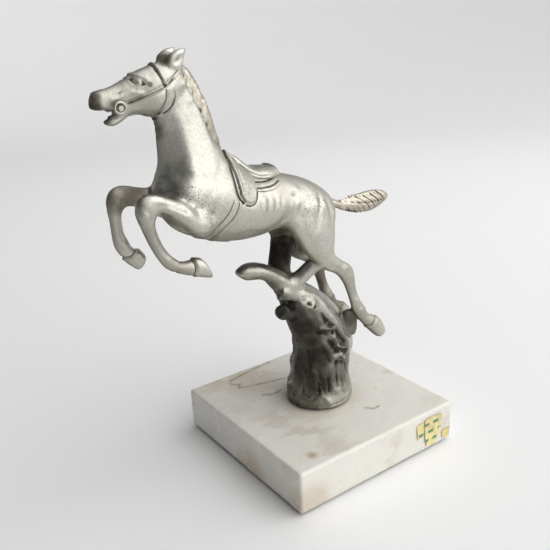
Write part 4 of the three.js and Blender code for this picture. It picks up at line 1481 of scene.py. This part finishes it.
GIRTH_LINES = (
    Stroke([(-39.4, 110.0), (-41.0, 105.6), (-44.6, 101.2), (-46.4, 97.0), (-45.8, 91.0)], 0.42, -0.5, 0.0),
    Stroke([(-38.4, 109.4), (-40.2, 104.6), (-43.4, 100.6), (-45.0, 96.6), (-44.6, 91.0)], 0.4, 0.14, 0.0),
)
CHEEK_STRAP = [(-71.6, 142.4), (-67.6, 143.5), (-64.6, 144.6), (-58.6, 146.6), (-52.6, 150.6)]
BROWBAND = [(-57.9, 146.9), (-58.7, 149.4), (-59.4, 152.4), (-59.8, 156.0)]


def ribbon(line: Line, width: float) -> list[Point]:
    """The outline of a strap of even width along a line."""
    course = smooth_line(line, 4)
    left, right = [], []
    for k, (y, z) in enumerate(course):
        a, b = course[max(k - 1, 0)], course[min(k + 1, len(course) - 1)]
        size = math.dist(a, b)
        dy, dz = (b[0] - a[0]) / size * width / 2, (b[1] - a[1]) / size * width / 2
        left.append((y - dz, z + dy))
        right.append((y + dz, z - dy))
    return left + right[::-1]


def strap_piece(node: str, line: Line, side: Side, rise: float = 0.62, width: float = 1.15) -> TackPiece:
    """A plain strap of even width."""
    return TackPiece(node, ribbon(line, width), rise, side, (), 0.22)


@dataclass
class Tack:
    """Saddle, cloth, girth and bridle, cast onto the horse."""

    horse: Horse
    bit_place: Point = (-72.7, 142.0)
    bit_side: float = 4.35
    ring_radius: float = 1.62
    ring_wire: float = 0.38

    def lying(self, piece: TackPiece, finish: bpy.types.Material, step: float) -> None:
        """Makes a piece that lies on the hide.

        Args:
            piece: What to make.
            finish: Its material.
            step: Grid step.
        """
        block = self.horse.block_for([piece.node], step, 1.6)
        whole, _ = self.horse.shape(block)
        drawing = Relief(block)
        inside = -drawing.outline(piece.outline)
        for stroke in piece.lines:
            drawing.draw(stroke)
        top = whole - piece.rise - drawing.height[None]
        shape = soft_max(top, -inside[None] + np.zeros_like(whole), piece.edge * 2)
        shape = np.maximum(shape, -(whole + 0.45))
        if piece.side is not Side.BOTH:
            shape = np.maximum(shape, 1.2 - block.axis(0) * piece.side.value)
        skin = skin_of(block, shape)
        made = SculptedPiece(f"{piece.node}_cast", skin, Body.FIGURE, Slot.PLATE, [piece.node])
        made.dress(finish, hollow=block.sample(hollow_of(block, top), skin.points))

    def seat(self, finish: bpy.types.Material) -> None:
        """Makes the seat with its pommel roll, dished middle and squared cantle."""
        block = self.horse.block_for(["saddle_seat"], FINE_STEP, 2.0)
        whole, _ = self.horse.shape(block)
        blank = blurred(self.horse.solids.distance("saddle_seat", block), 0.45 / block.step)
        drawing = Relief(block)
        drawing.line([(-38.4, 124.4), (-37.0, 120.4), (-36.6, 116.0)], 1.0, 0.45, 0.0)
        drawing.line([(-36.2, 123.4), (-35.0, 119.6), (-34.8, 116.0)], 0.6, -0.35, 0.0)
        drawing.line([(-18.6, 116.9), (-18.0, 113.6)], 1.0, 0.75, 0.0)
        drawing.line([(-34.2, 119.6), (-30.6, 116.4), (-26.8, 114.6), (-22.4, 114.2)], 0.5, -0.25, 0.8)
        drawing.patch((-27.6, 117.6), (5.0, 1.6), -0.35, -25)
        shape = blank - drawing.height[None] - 0.15
        shape = np.maximum(shape, -(whole + 0.6))
        skin = skin_of(block, shape)
        made = SculptedPiece("saddle_seat_cast", skin, Body.FIGURE, Slot.PLATE, ["saddle_seat"])
        made.dress(finish, hollow=skin.hollow)

    def bit(self, finish: bpy.types.Material) -> None:
        """Makes the bit: a bar with a boss at each end and a ring around each boss."""
        sweep = Sweep("bit_sweep", 20)
        y, z = self.bit_place
        turn = np.linspace(0.0, 2.0 * math.pi, 56, endpoint=False)
        for name, side in (("near_bit_ring", 1.0), ("off_bit_ring", -1.0)):
            lean = side * (self.bit_side + 0.12 * np.cos(turn))
            out, up = self.ring_radius * np.cos(turn), self.ring_radius * np.sin(turn)
            ring = np.stack([lean, y + out, z + up], 1)
            self._swept(f"{name}_wire", sweep, ring, lambda t: 1.0, self.ring_wire, finish, name, True)
        across = np.linspace(-1.0, 1.0, 81)
        bar = np.stack([across * 5.0, np.full(81, y), np.full(81, z)], 1)
        self._swept("bit_bar_turned", sweep, bar, self._bar_width, 0.72, finish, "bit_bar", False)

    @staticmethod
    def _bar_width(t: float) -> float:
        """The bar's share of its widest radius along its length."""
        out = abs(2.0 * t - 1.0)
        boss = 0.7 * math.sqrt(max(0.0, 1.0 - ((out - 0.93) / 0.07) ** 2))
        return max(0.45 if out < 0.93 else 0.02, boss)

    @staticmethod
    def _swept(
        name: str, sweep: Sweep, path: np.ndarray, widths: Callable[[float], float], radius: float,
        finish: bpy.types.Material, node: str, closed: bool,
    ) -> None:
        """Makes one swept piece in place of a node."""
        mesh = sweep.run(name, [path], widths, radius, finish, closed)
        mesh.shade_smooth()
        made = linked(name, mesh)
        for layer in ("hollow", "soot_and_shade", "pitted"):
            paint(made, layer, np.zeros(len(mesh.vertices)))
        claim(made, Body.FIGURE, Slot.PLATE, node)

    def build(self, finish: bpy.types.Material) -> None:
        """Makes all the tack."""
        for side, word in ((Side.NEAR, "near"), (Side.OFF, "off")):
            for piece in (
                TackPiece(f"{word}_saddle_cloth", CLOTH, 0.5, side, CLOTH_LINES, 0.25),
                TackPiece(f"{word}_saddle_flap", FLAP, 0.85, side, FLAP_LINES, 0.4),
                strap_piece(f"{word}_cheek_strap", CHEEK_STRAP, side),
            ):
                self.lying(piece, finish, FINE_STEP)
        self.lying(TackPiece("girth", GIRTH, 0.34, Side.BOTH, GIRTH_LINES, 0.12), finish, GIRTH_STEP)
        self.lying(strap_piece("throat_lash", THROAT_LASH, Side.BOTH, 0.55, 0.95), finish, FINE_STEP)
        self.lying(strap_piece("browband", BROWBAND, Side.BOTH, 0.5, 1.1), finish, FINE_STEP)
        self.seat(finish)
        self.bit(finish)


def hollow_of(block: Block, shape: np.ndarray) -> np.ndarray:
    """How hollow a shape is near each grid point."""
    return shape - blurred(np.clip(shape, -2.5, 2.5), 0.8 / block.step)


# ---- the stump -------------------------------------------------------------------------------------
def cloud(points: np.ndarray, size: Sequence[float], seed: int) -> np.ndarray:
    """Smooth random values between about -1 and 1 at given places.

    Args:
        points: Places, one row each.
        size: Length of a feature along each of their axes.
        seed: Fixes the pattern.

    Returns:
        One value for each row.
    """
    table = np.random.default_rng(seed).uniform(-1.0, 1.0, (32, 32, 32)).astype(np.float32)
    place = points / np.asarray(size, np.float32) + 512.0
    whole = np.floor(place).astype(np.int32)
    t = (place - whole).astype(np.float32)
    t = t * t * (3.0 - 2.0 * t)
    total = np.zeros(len(points), np.float32)
    for corner in range(8):
        bits = [(corner >> k) & 1 for k in range(3)]
        weight = np.ones(len(points), np.float32)
        for k in range(3):
            weight *= t[:, k] if bits[k] else 1.0 - t[:, k]
        total += weight * table[tuple((whole[:, k] + bits[k]) % 32 for k in range(3))]
    return total


@dataclass(frozen=True)
class Cavity:
    """A hollow in the bark: an ellipsoid in space, its long axis leaning along the grain."""

    centre: tuple[float, float, float]
    radii: tuple[float, float, float]
    lean: float = -15.0


CAVITIES = (
    Cavity((10.0, -4.5, 48.9), (1.6, 0.6, 0.6), 0),
    Cavity((10.4, -3.9, 42.2), (1.6, 0.6, 0.6), 0),
    Cavity((8.0, -12.5, 53.1), (1.6, 0.8, 0.8), 0),
    Cavity((8.8, -8.9, 63.3), (1.6, 0.9, 0.8), 20),
    Cavity((9.2, -6.2, 61.4), (1.5, 0.8, 0.7), -20),
    Cavity((8.8, -9.4, 60.4), (1.5, 0.7, 1.0), 0),
    Cavity((8.6, -9.6, 44.0), (2.8, 1.4, 6.0), 4),
    Cavity((2.0, -13.4, 58.4), (3.4, 1.8, 4.6), -14),
    Cavity((5.0, -12.4, 36.0), (2.4, 1.6, 6.4), 0),
    Cavity((9.4, -6.2, 29.4), (1.2, 1.2, 4.4), 4),
    Cavity((11.4, 9.0, 30.0), (1.2, 1.2, 5.6), 8),
    Cavity((-5.8, -10.6, 38.0), (2.4, 1.6, 8.0), 0),
    Cavity((-10.6, 2.0, 38.0), (1.4, 2.2, 7.0), 0),
    Cavity((-8.0, -8.0, 52.0), (2.0, 2.0, 4.6), -15),
    Cavity((0.0, 16.0, 31.0), (2.8, 1.4, 6.4), 5),
    Cavity((-6.4, 14.6, 36.0), (2.0, 1.6, 6.0), 5),
)
LOG_TOP = [
    (-34.6, 80.6), (-31.0, 82.6), (-26.0, 82.0), (-20.3, 79.6), (-13.4, 75.2), (-6.2, 69.6), (1.8, 63.1),
    (7.8, 57.4), (13.4, 50.4), (16.8, 44.5), (17.8, 38.6),
]
# Broken ledges, the log's torn lower edge, the stub's lips and the folds that run down to the foot.
BARK_STROKES = (
    Stroke([(-6.0, 52.5), (-1.4, 51.4), (3.0, 50.1)], 1.2, 0.8, 0.8, Side.NEAR),
    Stroke([(-6.4, 50.4), (-1.8, 49.2), (2.8, 47.8)], 1.9, -0.8, 1.6, Side.NEAR),
    Stroke([(-22.6, 74.0), (-20.4, 70.0), (-18.5, 65.9), (-15.3, 64.5), (-12.2, 64.9)], 1.3, -0.8, 0.8),
    Stroke(
        [(-12.2, 64.9), (-9.0, 65.6), (-5.6, 64.6), (-3.4, 61.0), (-2.2, 56.2), (-0.6, 53.0)],
        1.7, -0.75, 1.6,
    ),
    Stroke([(1.2, 43.4), (5.6, 41.8), (10.0, 39.9)], 1.2, 0.8, 0.8, Side.NEAR),
    Stroke([(0.8, 41.2), (5.0, 39.6), (9.4, 37.6)], 1.8, -0.7, 1.6, Side.NEAR),
    Stroke([(3.0, 49.4), (5.0, 46.0), (8.0, 42.4)], 1.3, -0.6, 1.0),
    Stroke([(-31.0, 78.0), (-25.0, 76.6), (-22.0, 75.0)], 0.9, -0.5, 2.0),
    Stroke([(-9.4, 38.0), (-7.6, 34.0), (-6.4, 29.7), (-6.0, 26.0), (-7.0, 21.6)], 1.3, 0.6, 2.4),
    Stroke([(-6.0, 36.0), (-5.0, 31.0), (-4.9, 28.0), (-4.8, 24.6)], 0.9, -0.45, 2.4),
    Stroke([(-4.0, 33.0), (-3.6, 28.6), (-4.0, 23.8)], 0.9, 0.4, 2.0),
    Stroke([(-2.6, 32.0), (-2.5, 28.0), (-2.8, 24.0)], 0.8, -0.4, 2.0),
    Stroke([(-1.0, 34.0), (-1.2, 29.7), (-1.5, 24.4)], 0.9, 0.4, 2.0),
    Stroke([(1.8, 38.0), (1.6, 31.0), (1.4, 24.6)], 1.1, -0.6, 2.4),
    Stroke([(4.7, 39.4), (5.0, 32.0), (5.5, 22.6)], 2.2, 0.9, 2.4),
    Stroke([(-16.0, 19.6), (-8.0, 19.9), (2.0, 19.8), (12.0, 19.9), (18.0, 19.6)], 0.5, -0.3, 0.0),
)
KNOT = Swell((-8.0, 62.0), (3.2, 2.8), 1.0, 0.0, Side.NEAR)
STUMP_FOOT = 18.02  # just above the slab, with the clearance that the castings keep
BORE_RADIUS = 3.475
BORE_TOP = 30.3
GRAIN_LEAN = 28.0  # degrees, forwards


@dataclass
class Stump:
    """The broken tree trunk that carries the horse."""

    solids: Solids
    horse: Horse
    bark_depth: float = 1.0

    def shape(self, block: Block) -> np.ndarray:
        """The stump over a block."""
        base = blurred(self.solids.distance("tree_stump", block), 0.75 / block.step)
        x, y, z = block.xyz()
        drawing, near_side = Relief(block), Relief(block)
        for stroke in BARK_STROKES:
            (near_side if stroke.side is Side.NEAR else drawing).draw(stroke)
        near_side.patch(KNOT.centre, KNOT.radii, KNOT.height)
        from_top, _, _ = drawing.along(LOG_TOP)
        smooth = eased(from_top, 5.4, 8.6)
        base = base - (drawing.height * (0.25 + 0.75 * smooth))[None]
        base = base - eased(x, 0.0, 3.0) * near_side.height[None]
        for cavity in CAVITIES:
            lean = math.radians(cavity.lean)
            cy, cz = y - cavity.centre[1], z - cavity.centre[2]
            a = (x - cavity.centre[0]) / cavity.radii[0]
            b = (cy * math.cos(lean) - cz * math.sin(lean)) / cavity.radii[1]
            c = (cy * math.sin(lean) + cz * math.cos(lean)) / cavity.radii[2]
            base = soft_max(base, -oval(a, b, c, min(cavity.radii)), 0.8)
        near = np.abs(base) < 2.4
        where = np.nonzero(near)
        places = block.places(where)
        lean = math.radians(GRAIN_LEAN)
        grain = np.stack(
            [
                places[:, 0],
                places[:, 1] * math.cos(lean) + places[:, 2] * math.sin(lean),
                places[:, 2] * math.cos(lean) - places[:, 1] * math.sin(lean),
            ],
            1,
        ).astype(np.float32)
        ridged = 1.0 - 2.0 * np.abs(cloud(grain, (4.2, 4.2, 13.0), 3))
        broken = cloud(grain, (2.4, 2.4, 5.6), 5)
        fine = cloud(grain, (0.9, 0.9, 1.6), 8)
        rough = smooth[where[1], where[2]]
        depth = self.bark_depth * (0.12 + 0.88 * rough)
        foot = 1.0 - eased(places[:, 2], STUMP_FOOT + 0.38, STUMP_FOOT + 3.48)
        depth = depth * (1.0 - 0.75 * foot)
        base[near] -= (0.55 * ridged + 0.42 * broken + 0.1 * fine - 0.2) * depth
        return soft_max(base, STUMP_FOOT - z + np.zeros_like(base), 0.3)

    @staticmethod
    def deep_at(points: np.ndarray) -> np.ndarray:
        """How much painted shade the plate has at each point: full elsewhere, lifted by a painted highlight
        along the log's top and on the foot's right.
        """
        curve = np.array(smooth_line(LOG_TOP, 6))
        gap = np.min(np.hypot(points[:, 1:2] - curve[:, 0], points[:, 2:3] - curve[:, 1]), axis=1)
        log_top = 1.0 - eased(gap, 5.6, 8.8)
        foot = (1.0 - eased(points[:, 2], 21.0, 30.0)) * eased(points[:, 0] + points[:, 1], 0.0, 12.0)
        return 1.0 - 0.75 * np.maximum(log_top, foot)

    def build(self, finish: bpy.types.Material) -> None:
        """Makes the stump, joined to the horse's supports."""
        block = self.horse.block_for(["tree_stump"], BARK_STEP, 1.4)
        shape = self.shape(block)
        x, y, z = block.xyz()
        bore = np.maximum(np.hypot(x, y) - BORE_RADIUS, z - BORE_TOP)
        skin = skin_of(block, np.maximum(shape, -bore))
        made = SculptedPiece("tree_stump_cast", skin, Body.FIGURE, Slot.DARK_PLATE, ["tree_stump"])
        # Painted shade over the stump, lifted by a painted highlight along the log's top and on the foot's
        # right.
        made.dress(finish, hollow=skin.hollow * 0.8, deep=self.deep_at(skin.points))


# ---- slab, felt, label and fixings -----------------------------------------------------------------
@dataclass(frozen=True)
class Chip:
    """A small flake lost from the slab's edge."""

    place: tuple[float, float, float]
    radius: float


# Brown lines in the slab's top, as X and Y, and the stains round them, round the foot and on the edges; the
# ring round the foot is partly a stain and partly a painted contact shadow.
SEAMS = (
    ((-33.1, -21.2), (-35.0, -10.0), (-36.3, 1.6)), ((-31.0, -22.4), (-27.6, -20.0), (-25.6, -21.5)),
    ((-25.6, -21.5), (-22.0, -10.0), (-19.5, 0.2)), ((-14.6, -17.0), (-12.4, -13.4), (-13.0, -9.0)),
    ((31.0, -27.9), (31.4, -27.2)), ((20.0, 8.6), (22.4, 10.8), (22.0, 13.6)),
)
STAINS_AND_FOOT_SHADOW = (
    Spot((-28.0, -14.0, 17.7), 12.0, 0.7), Spot((0.0, 0.0, 17.7), 17.0, 0.8),
    Spot((31.2, -27.5, 17.7), 2.4, 0.9), Spot((-37.0, -30.0, 14.0), 9.0, 0.8),
    Spot((38.0, -34.0, 4.0), 8.0, 0.6), Spot((38.0, 33.0, 14.0), 8.0, 0.8),
    Spot((6.0, -38.0, 3.0), 9.0, 0.6),
)
CHIPS = (
    Chip((38.4, -38.6, 17.6), 1.1), Chip((38.9, -22.0, 18.2), 1.1), Chip((38.8, 12.0, 18.1), 0.9),
    Chip((-12.0, -38.8, 18.2), 1.1), Chip((16.0, -38.7, 18.0), 0.8), Chip((38.8, -38.5, 9.0), 1.0),
    Chip((38.7, 38.6, 17.8), 1.2), Chip((-38.6, -38.7, 17.5), 1.1), Chip((38.9, 27.0, 0.9), 1.2),
    Chip((38.9, -9.0, 0.8), 1.3), Chip((4.0, -38.9, 0.8), 1.2), Chip((-30.0, 38.7, 17.9), 1.0),
)


# Label remains on the slab's near face, as Y and Z.
PRINTED_SCRAP = [
    (22.6, 15.0), (25.2, 15.4), (31.6, 14.8), (31.8, 9.2), (29.4, 4.0), (27.6, 2.2), (24.0, 2.8), (22.7, 7.2),
]
SMALL_SCRAP = [(18.1, 14.0), (21.9, 14.5), (21.8, 8.1), (18.9, 7.5)]
GLUE_PATCH = [(32.5, 6.3), (37.1, 6.5), (36.3, 2.5), (32.9, 2.5)]


@dataclass
class Base:
    """Marble slab with its felt, fixings and label remains."""

    solids: Solids
    round_over: float = 0.7
    stud_hole: float = 3.75
    counterbore: float = 9.5
    counterbore_top: float = 12.0
    felt_half: float = 36.4
    label_face: float = 38.30
    paper: float = 0.09
    stud_radius: float = 3.14
    thread_wire: float = 0.3
    thread_low: float = 2.3
    thread_turns: int = 22
    thread_pitch: float = 1.27 * 0.95

    def slab(self, finish: bpy.types.Material) -> None:
        """Makes the slab, its edges a little worn and chipped, bored for the stud."""
        low, high = (np.round(corner, 3) for corner in self.solids.boxes["marble_slab"])
        block = Block(low, high, SLAB_STEP, 3)
        x, y, z = block.xyz()
        half, middle, tall = float(high[0]), float(high[2] + low[2]) / 2, float(high[2] - low[2]) / 2
        over = [np.abs(x) - half, np.abs(y) - half, np.abs(z - middle) - tall]
        over = [v + self.round_over for v in over]
        outside = np.sqrt(sum(np.clip(v, 0.0, None) ** 2 for v in over))
        shape = outside + np.minimum(np.maximum(np.maximum(over[0], over[1]), over[2]), 0.0) - self.round_over
        for chip in CHIPS:
            cx, cy, cz = chip.place
            away = np.sqrt((x - cx) ** 2 + (y - cy) ** 2 + (z - cz) ** 2)
            shape = soft_max(shape, chip.radius - away, 0.3)
        near = np.abs(shape) < 1.5
        places = block.places(np.nonzero(near))
        waves = 0.05 + 0.05 * cloud(places, (7.0, 7.0, 7.0), 21) + 0.03 * cloud(places, (2.0, 2.0, 2.0), 22)
        shape[near] += waves
        hole = np.hypot(x, y)
        shape = np.maximum(shape, self.stud_hole - hole + np.zeros_like(z))
        shape = np.maximum(shape, -np.maximum(hole - self.counterbore, z - self.counterbore_top))
        skin = skin_of(block, shape)
        made = SculptedPiece("marble_slab_cut", skin, Body.BASE, Slot.MARBLE, ["marble_slab"])
        places = skin.points
        drawn = [point for seam in SEAMS for point in smooth_line(seam, 24)]
        gaps = [np.hypot(places[:, 0] - x, places[:, 1] - y) for x, y in drawn]
        seam = np.exp(-((np.minimum.reduce(gaps) / 0.5) ** 2)) * (places[:, 2] > self.counterbore_top)
        made.dress(finish, seam=seam, stained=reached(places, STAINS_AND_FOOT_SHADOW))
        made.smooth_normals()

    def felt(self, finish: bpy.types.Material) -> None:
        """Makes the pad, cut a little unevenly by hand."""
        rng = np.random.default_rng(4)
        outline = []
        for side in range(4):
            turn = side * math.pi / 2
            for t in np.linspace(-1.0, 1.0, 60, endpoint=False):
                u = self.felt_half + 0.12 * math.sin(5.0 * t + side) + rng.uniform(-0.05, 0.05)
                v = (self.felt_half - 0.2) * t
                x, y = u * math.cos(turn) - v * math.sin(turn), u * math.sin(turn) + v * math.cos(turn)
                outline.append((x, y))
        # Each row is a share of the outline and a height: the pad's underside, its soft edge and its top.
        rows = [(0.985, 0.0), (1.0, 0.12), (1.003, 0.45), (1.0, 0.82), (0.985, 0.95), (0.9, 0.97)]
        count = len(outline)
        points = [(0.0, 0.0, 0.0)]
        for share, height in rows:
            points += [(x * share, y * share, height) for x, y in outline]
        points.append((0.0, 0.0, rows[-1][1]))
        last = len(points) - 1
        faces = [(0, 1 + k, 1 + j) for j, k in around(count)]
        for start in range(1, last - count, count):
            faces += [(start + j, start + k, start + k + count, start + j + count) for j, k in around(count)]
        faces += [(last - count + j, last - count + k, last) for j, k in around(count)]
        made = linked("felt_pad_cut", drawn_mesh("felt_pad_cut", points, faces, finish))
        claim(made, Body.BASE, Slot.FELT, "felt_pad")

    def scrap(
        self, node: str, outline: Line, seed: int, lift: float, finish: bpy.types.Material, slot: Slot
    ) -> None:
        """Makes a torn scrap of label that curls a little off the stone.

        Args:
            node: Its CAD node.
            outline: Its edge on the slab's face, as Y and Z.
            seed: Fixes the tear.
            lift: How far its edges curl out, in millimetres.
            finish: Its material.
            slot: The record's material slot. Not used.
        """
        rng = np.random.default_rng(seed)
        edge = []
        closed = list(outline) + [outline[0]]
        for a, b in zip(closed, closed[1:]):
            parts = max(2, int(math.dist(a, b) / 0.35))
            dy, dz = b[0] - a[0], b[1] - a[1]
            edge += [(a[0] + dy * k / parts, a[1] + dz * k / parts) for k in range(parts)]
        count = len(edge)
        looped = np.tile(rng.normal(0, 1, count), 3)
        wander = np.convolve(looped, np.ones(3) / 3, "same")[count:2 * count]
        centre = np.mean(edge, axis=0)
        torn = []
        for (y, z), push in zip(edge, wander):
            away = np.array([y, z]) - centre
            torn.append(centre + away * (1.0 + 0.13 * push / max(np.linalg.norm(away), 1.0)))
        shares = (1.0, 0.93, 0.8, 0.6, 0.3)
        outer, inner = [], []
        for share in shares:
            curl = lift * max(0.0, (share - 0.6) / 0.4) ** 2
            for k, p in enumerate(torn):
                y, z = centre + (p - centre) * share
                wave = 0.5 + 0.5 * math.sin(k * 0.21 + seed)
                outer.append((self.label_face + curl * wave + self.paper, y, z))
                inner.append((self.label_face + curl * wave, y, z))
        points = outer + [(self.label_face + self.paper, *centre)] + inner + [(self.label_face, *centre)]
        half = len(outer) + 1
        tail = (len(shares) - 1) * count
        faces = []
        for start in range(0, tail, count):
            for j, k in around(count):
                a, b = start + j, start + k
                faces.append((a, b, b + count, a + count))
                faces.append((half + b, half + a, half + a + count, half + b + count))
        for j, k in around(count):
            faces.append((tail + j, tail + k, half - 1))
            faces.append((half + tail + k, half + tail + j, 2 * half - 1))
            faces.append((k, j, half + j, half + k))
        made = linked(f"{node}_torn", drawn_mesh(f"{node}_torn", points, faces, finish))
        claim(made, Body.BASE, slot, node)

    def fixings(self, finish: bpy.types.Material) -> None:
        """Threads the stud, and gives the washers and the nut their finish."""
        for node in ("flat_washer", "lock_washer", "hex_nut", "mounting_stud"):
            owner = self.solids.nodes[node]
            for slot in owner.material_slots:
                slot.material = finish
        along = np.linspace(0.0, self.thread_turns, self.thread_turns * 24)
        angle = along * 2.0 * math.pi
        out, side = self.stud_radius * np.cos(angle), self.stud_radius * np.sin(angle)
        helix = np.stack([out, side, self.thread_low + along * self.thread_pitch], 1)
        mesh = Sweep("thread_sweep", 6).run("stud_thread", [helix], self.tapered, self.thread_wire, finish)
        claim(linked("stud_thread", mesh), Body.FIGURE, Slot.STEEL)

    @staticmethod
    def tapered(t: float) -> float:
        """The thread's share of its full height: it runs out at both ends."""
        return min(1.0, 30.0 * t, 30.0 * (1.0 - t)) + 0.02

    def build(self) -> None:
        """Makes the whole base."""
        self.slab(MarbleFinish().build())
        self.felt(FeltFinish().build())
        paper = PaperFinish("label_paper").build()
        glue = PaperFinish("old_glue", (0.72, 0.60, 0.26), (0.5, 0.42, 0.2), 0.0).build()
        self.scrap("printed_label_scrap", PRINTED_SCRAP, 3, 0.28, paper, Slot.PAPER)
        self.scrap("small_label_scrap", SMALL_SCRAP, 5, 0.18, paper, Slot.PAPER)
        self.scrap("label_glue_patch", GLUE_PATCH, 9, 0.05, glue, Slot.GLUE)
        self.fixings(SteelFinish().build())


def main() -> None:
    """Builds the ornament in its studio, piece by piece."""
    logging.basicConfig(level=logging.INFO, format="%(message)s", stream=sys.stdout)
    nodes = {name: bpy.data.objects[name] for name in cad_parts}
    solids = Solids(nodes)
    Studio().build()
    plate = PlateFinish("plate").build()
    dark = PlateFinish(
        "dark_plate", dirt_and_shade=(0.010, 0.009, 0.007), rust=(0.15, 0.14, 0.115),
        tarnish=0.75, gloss=0.26, grain=2.0, clean_to=0.0,
    ).build()
    brassy = PlateFinish(
        "brassy_plate", bright=(0.54, 0.505, 0.425), worn=(0.33, 0.28, 0.20), dirt_and_shade=(0.07, 0.05, 0.03),
        tarnish=0.6, clean_to=0.0,
    ).build()
    horse = Horse(solids)
    for name in ("body_casting", "near_foreleg", "off_foreleg", "near_hindleg", "off_hindleg"):
        horse.casting(name, BODY_STEP, plate, Slot.PLATE)
    for name in ("head_and_neck", "near_ear", "off_ear"):
        horse.casting(name, FINE_STEP, plate, Slot.PLATE)
    horse.casting("mane", FINE_STEP, brassy, Slot.BRASSY)
    horse.casting("tail", FINE_STEP, brassy, Slot.BRASSY)
    Tack(horse).build(plate)
    stump = Stump(solids, horse)
    stump.build(dark)
    for prop in SUPPORTS:
        horse.support(prop, stump, dark)
    Base(solids).build()


if __name__ == "__main__":
    main()
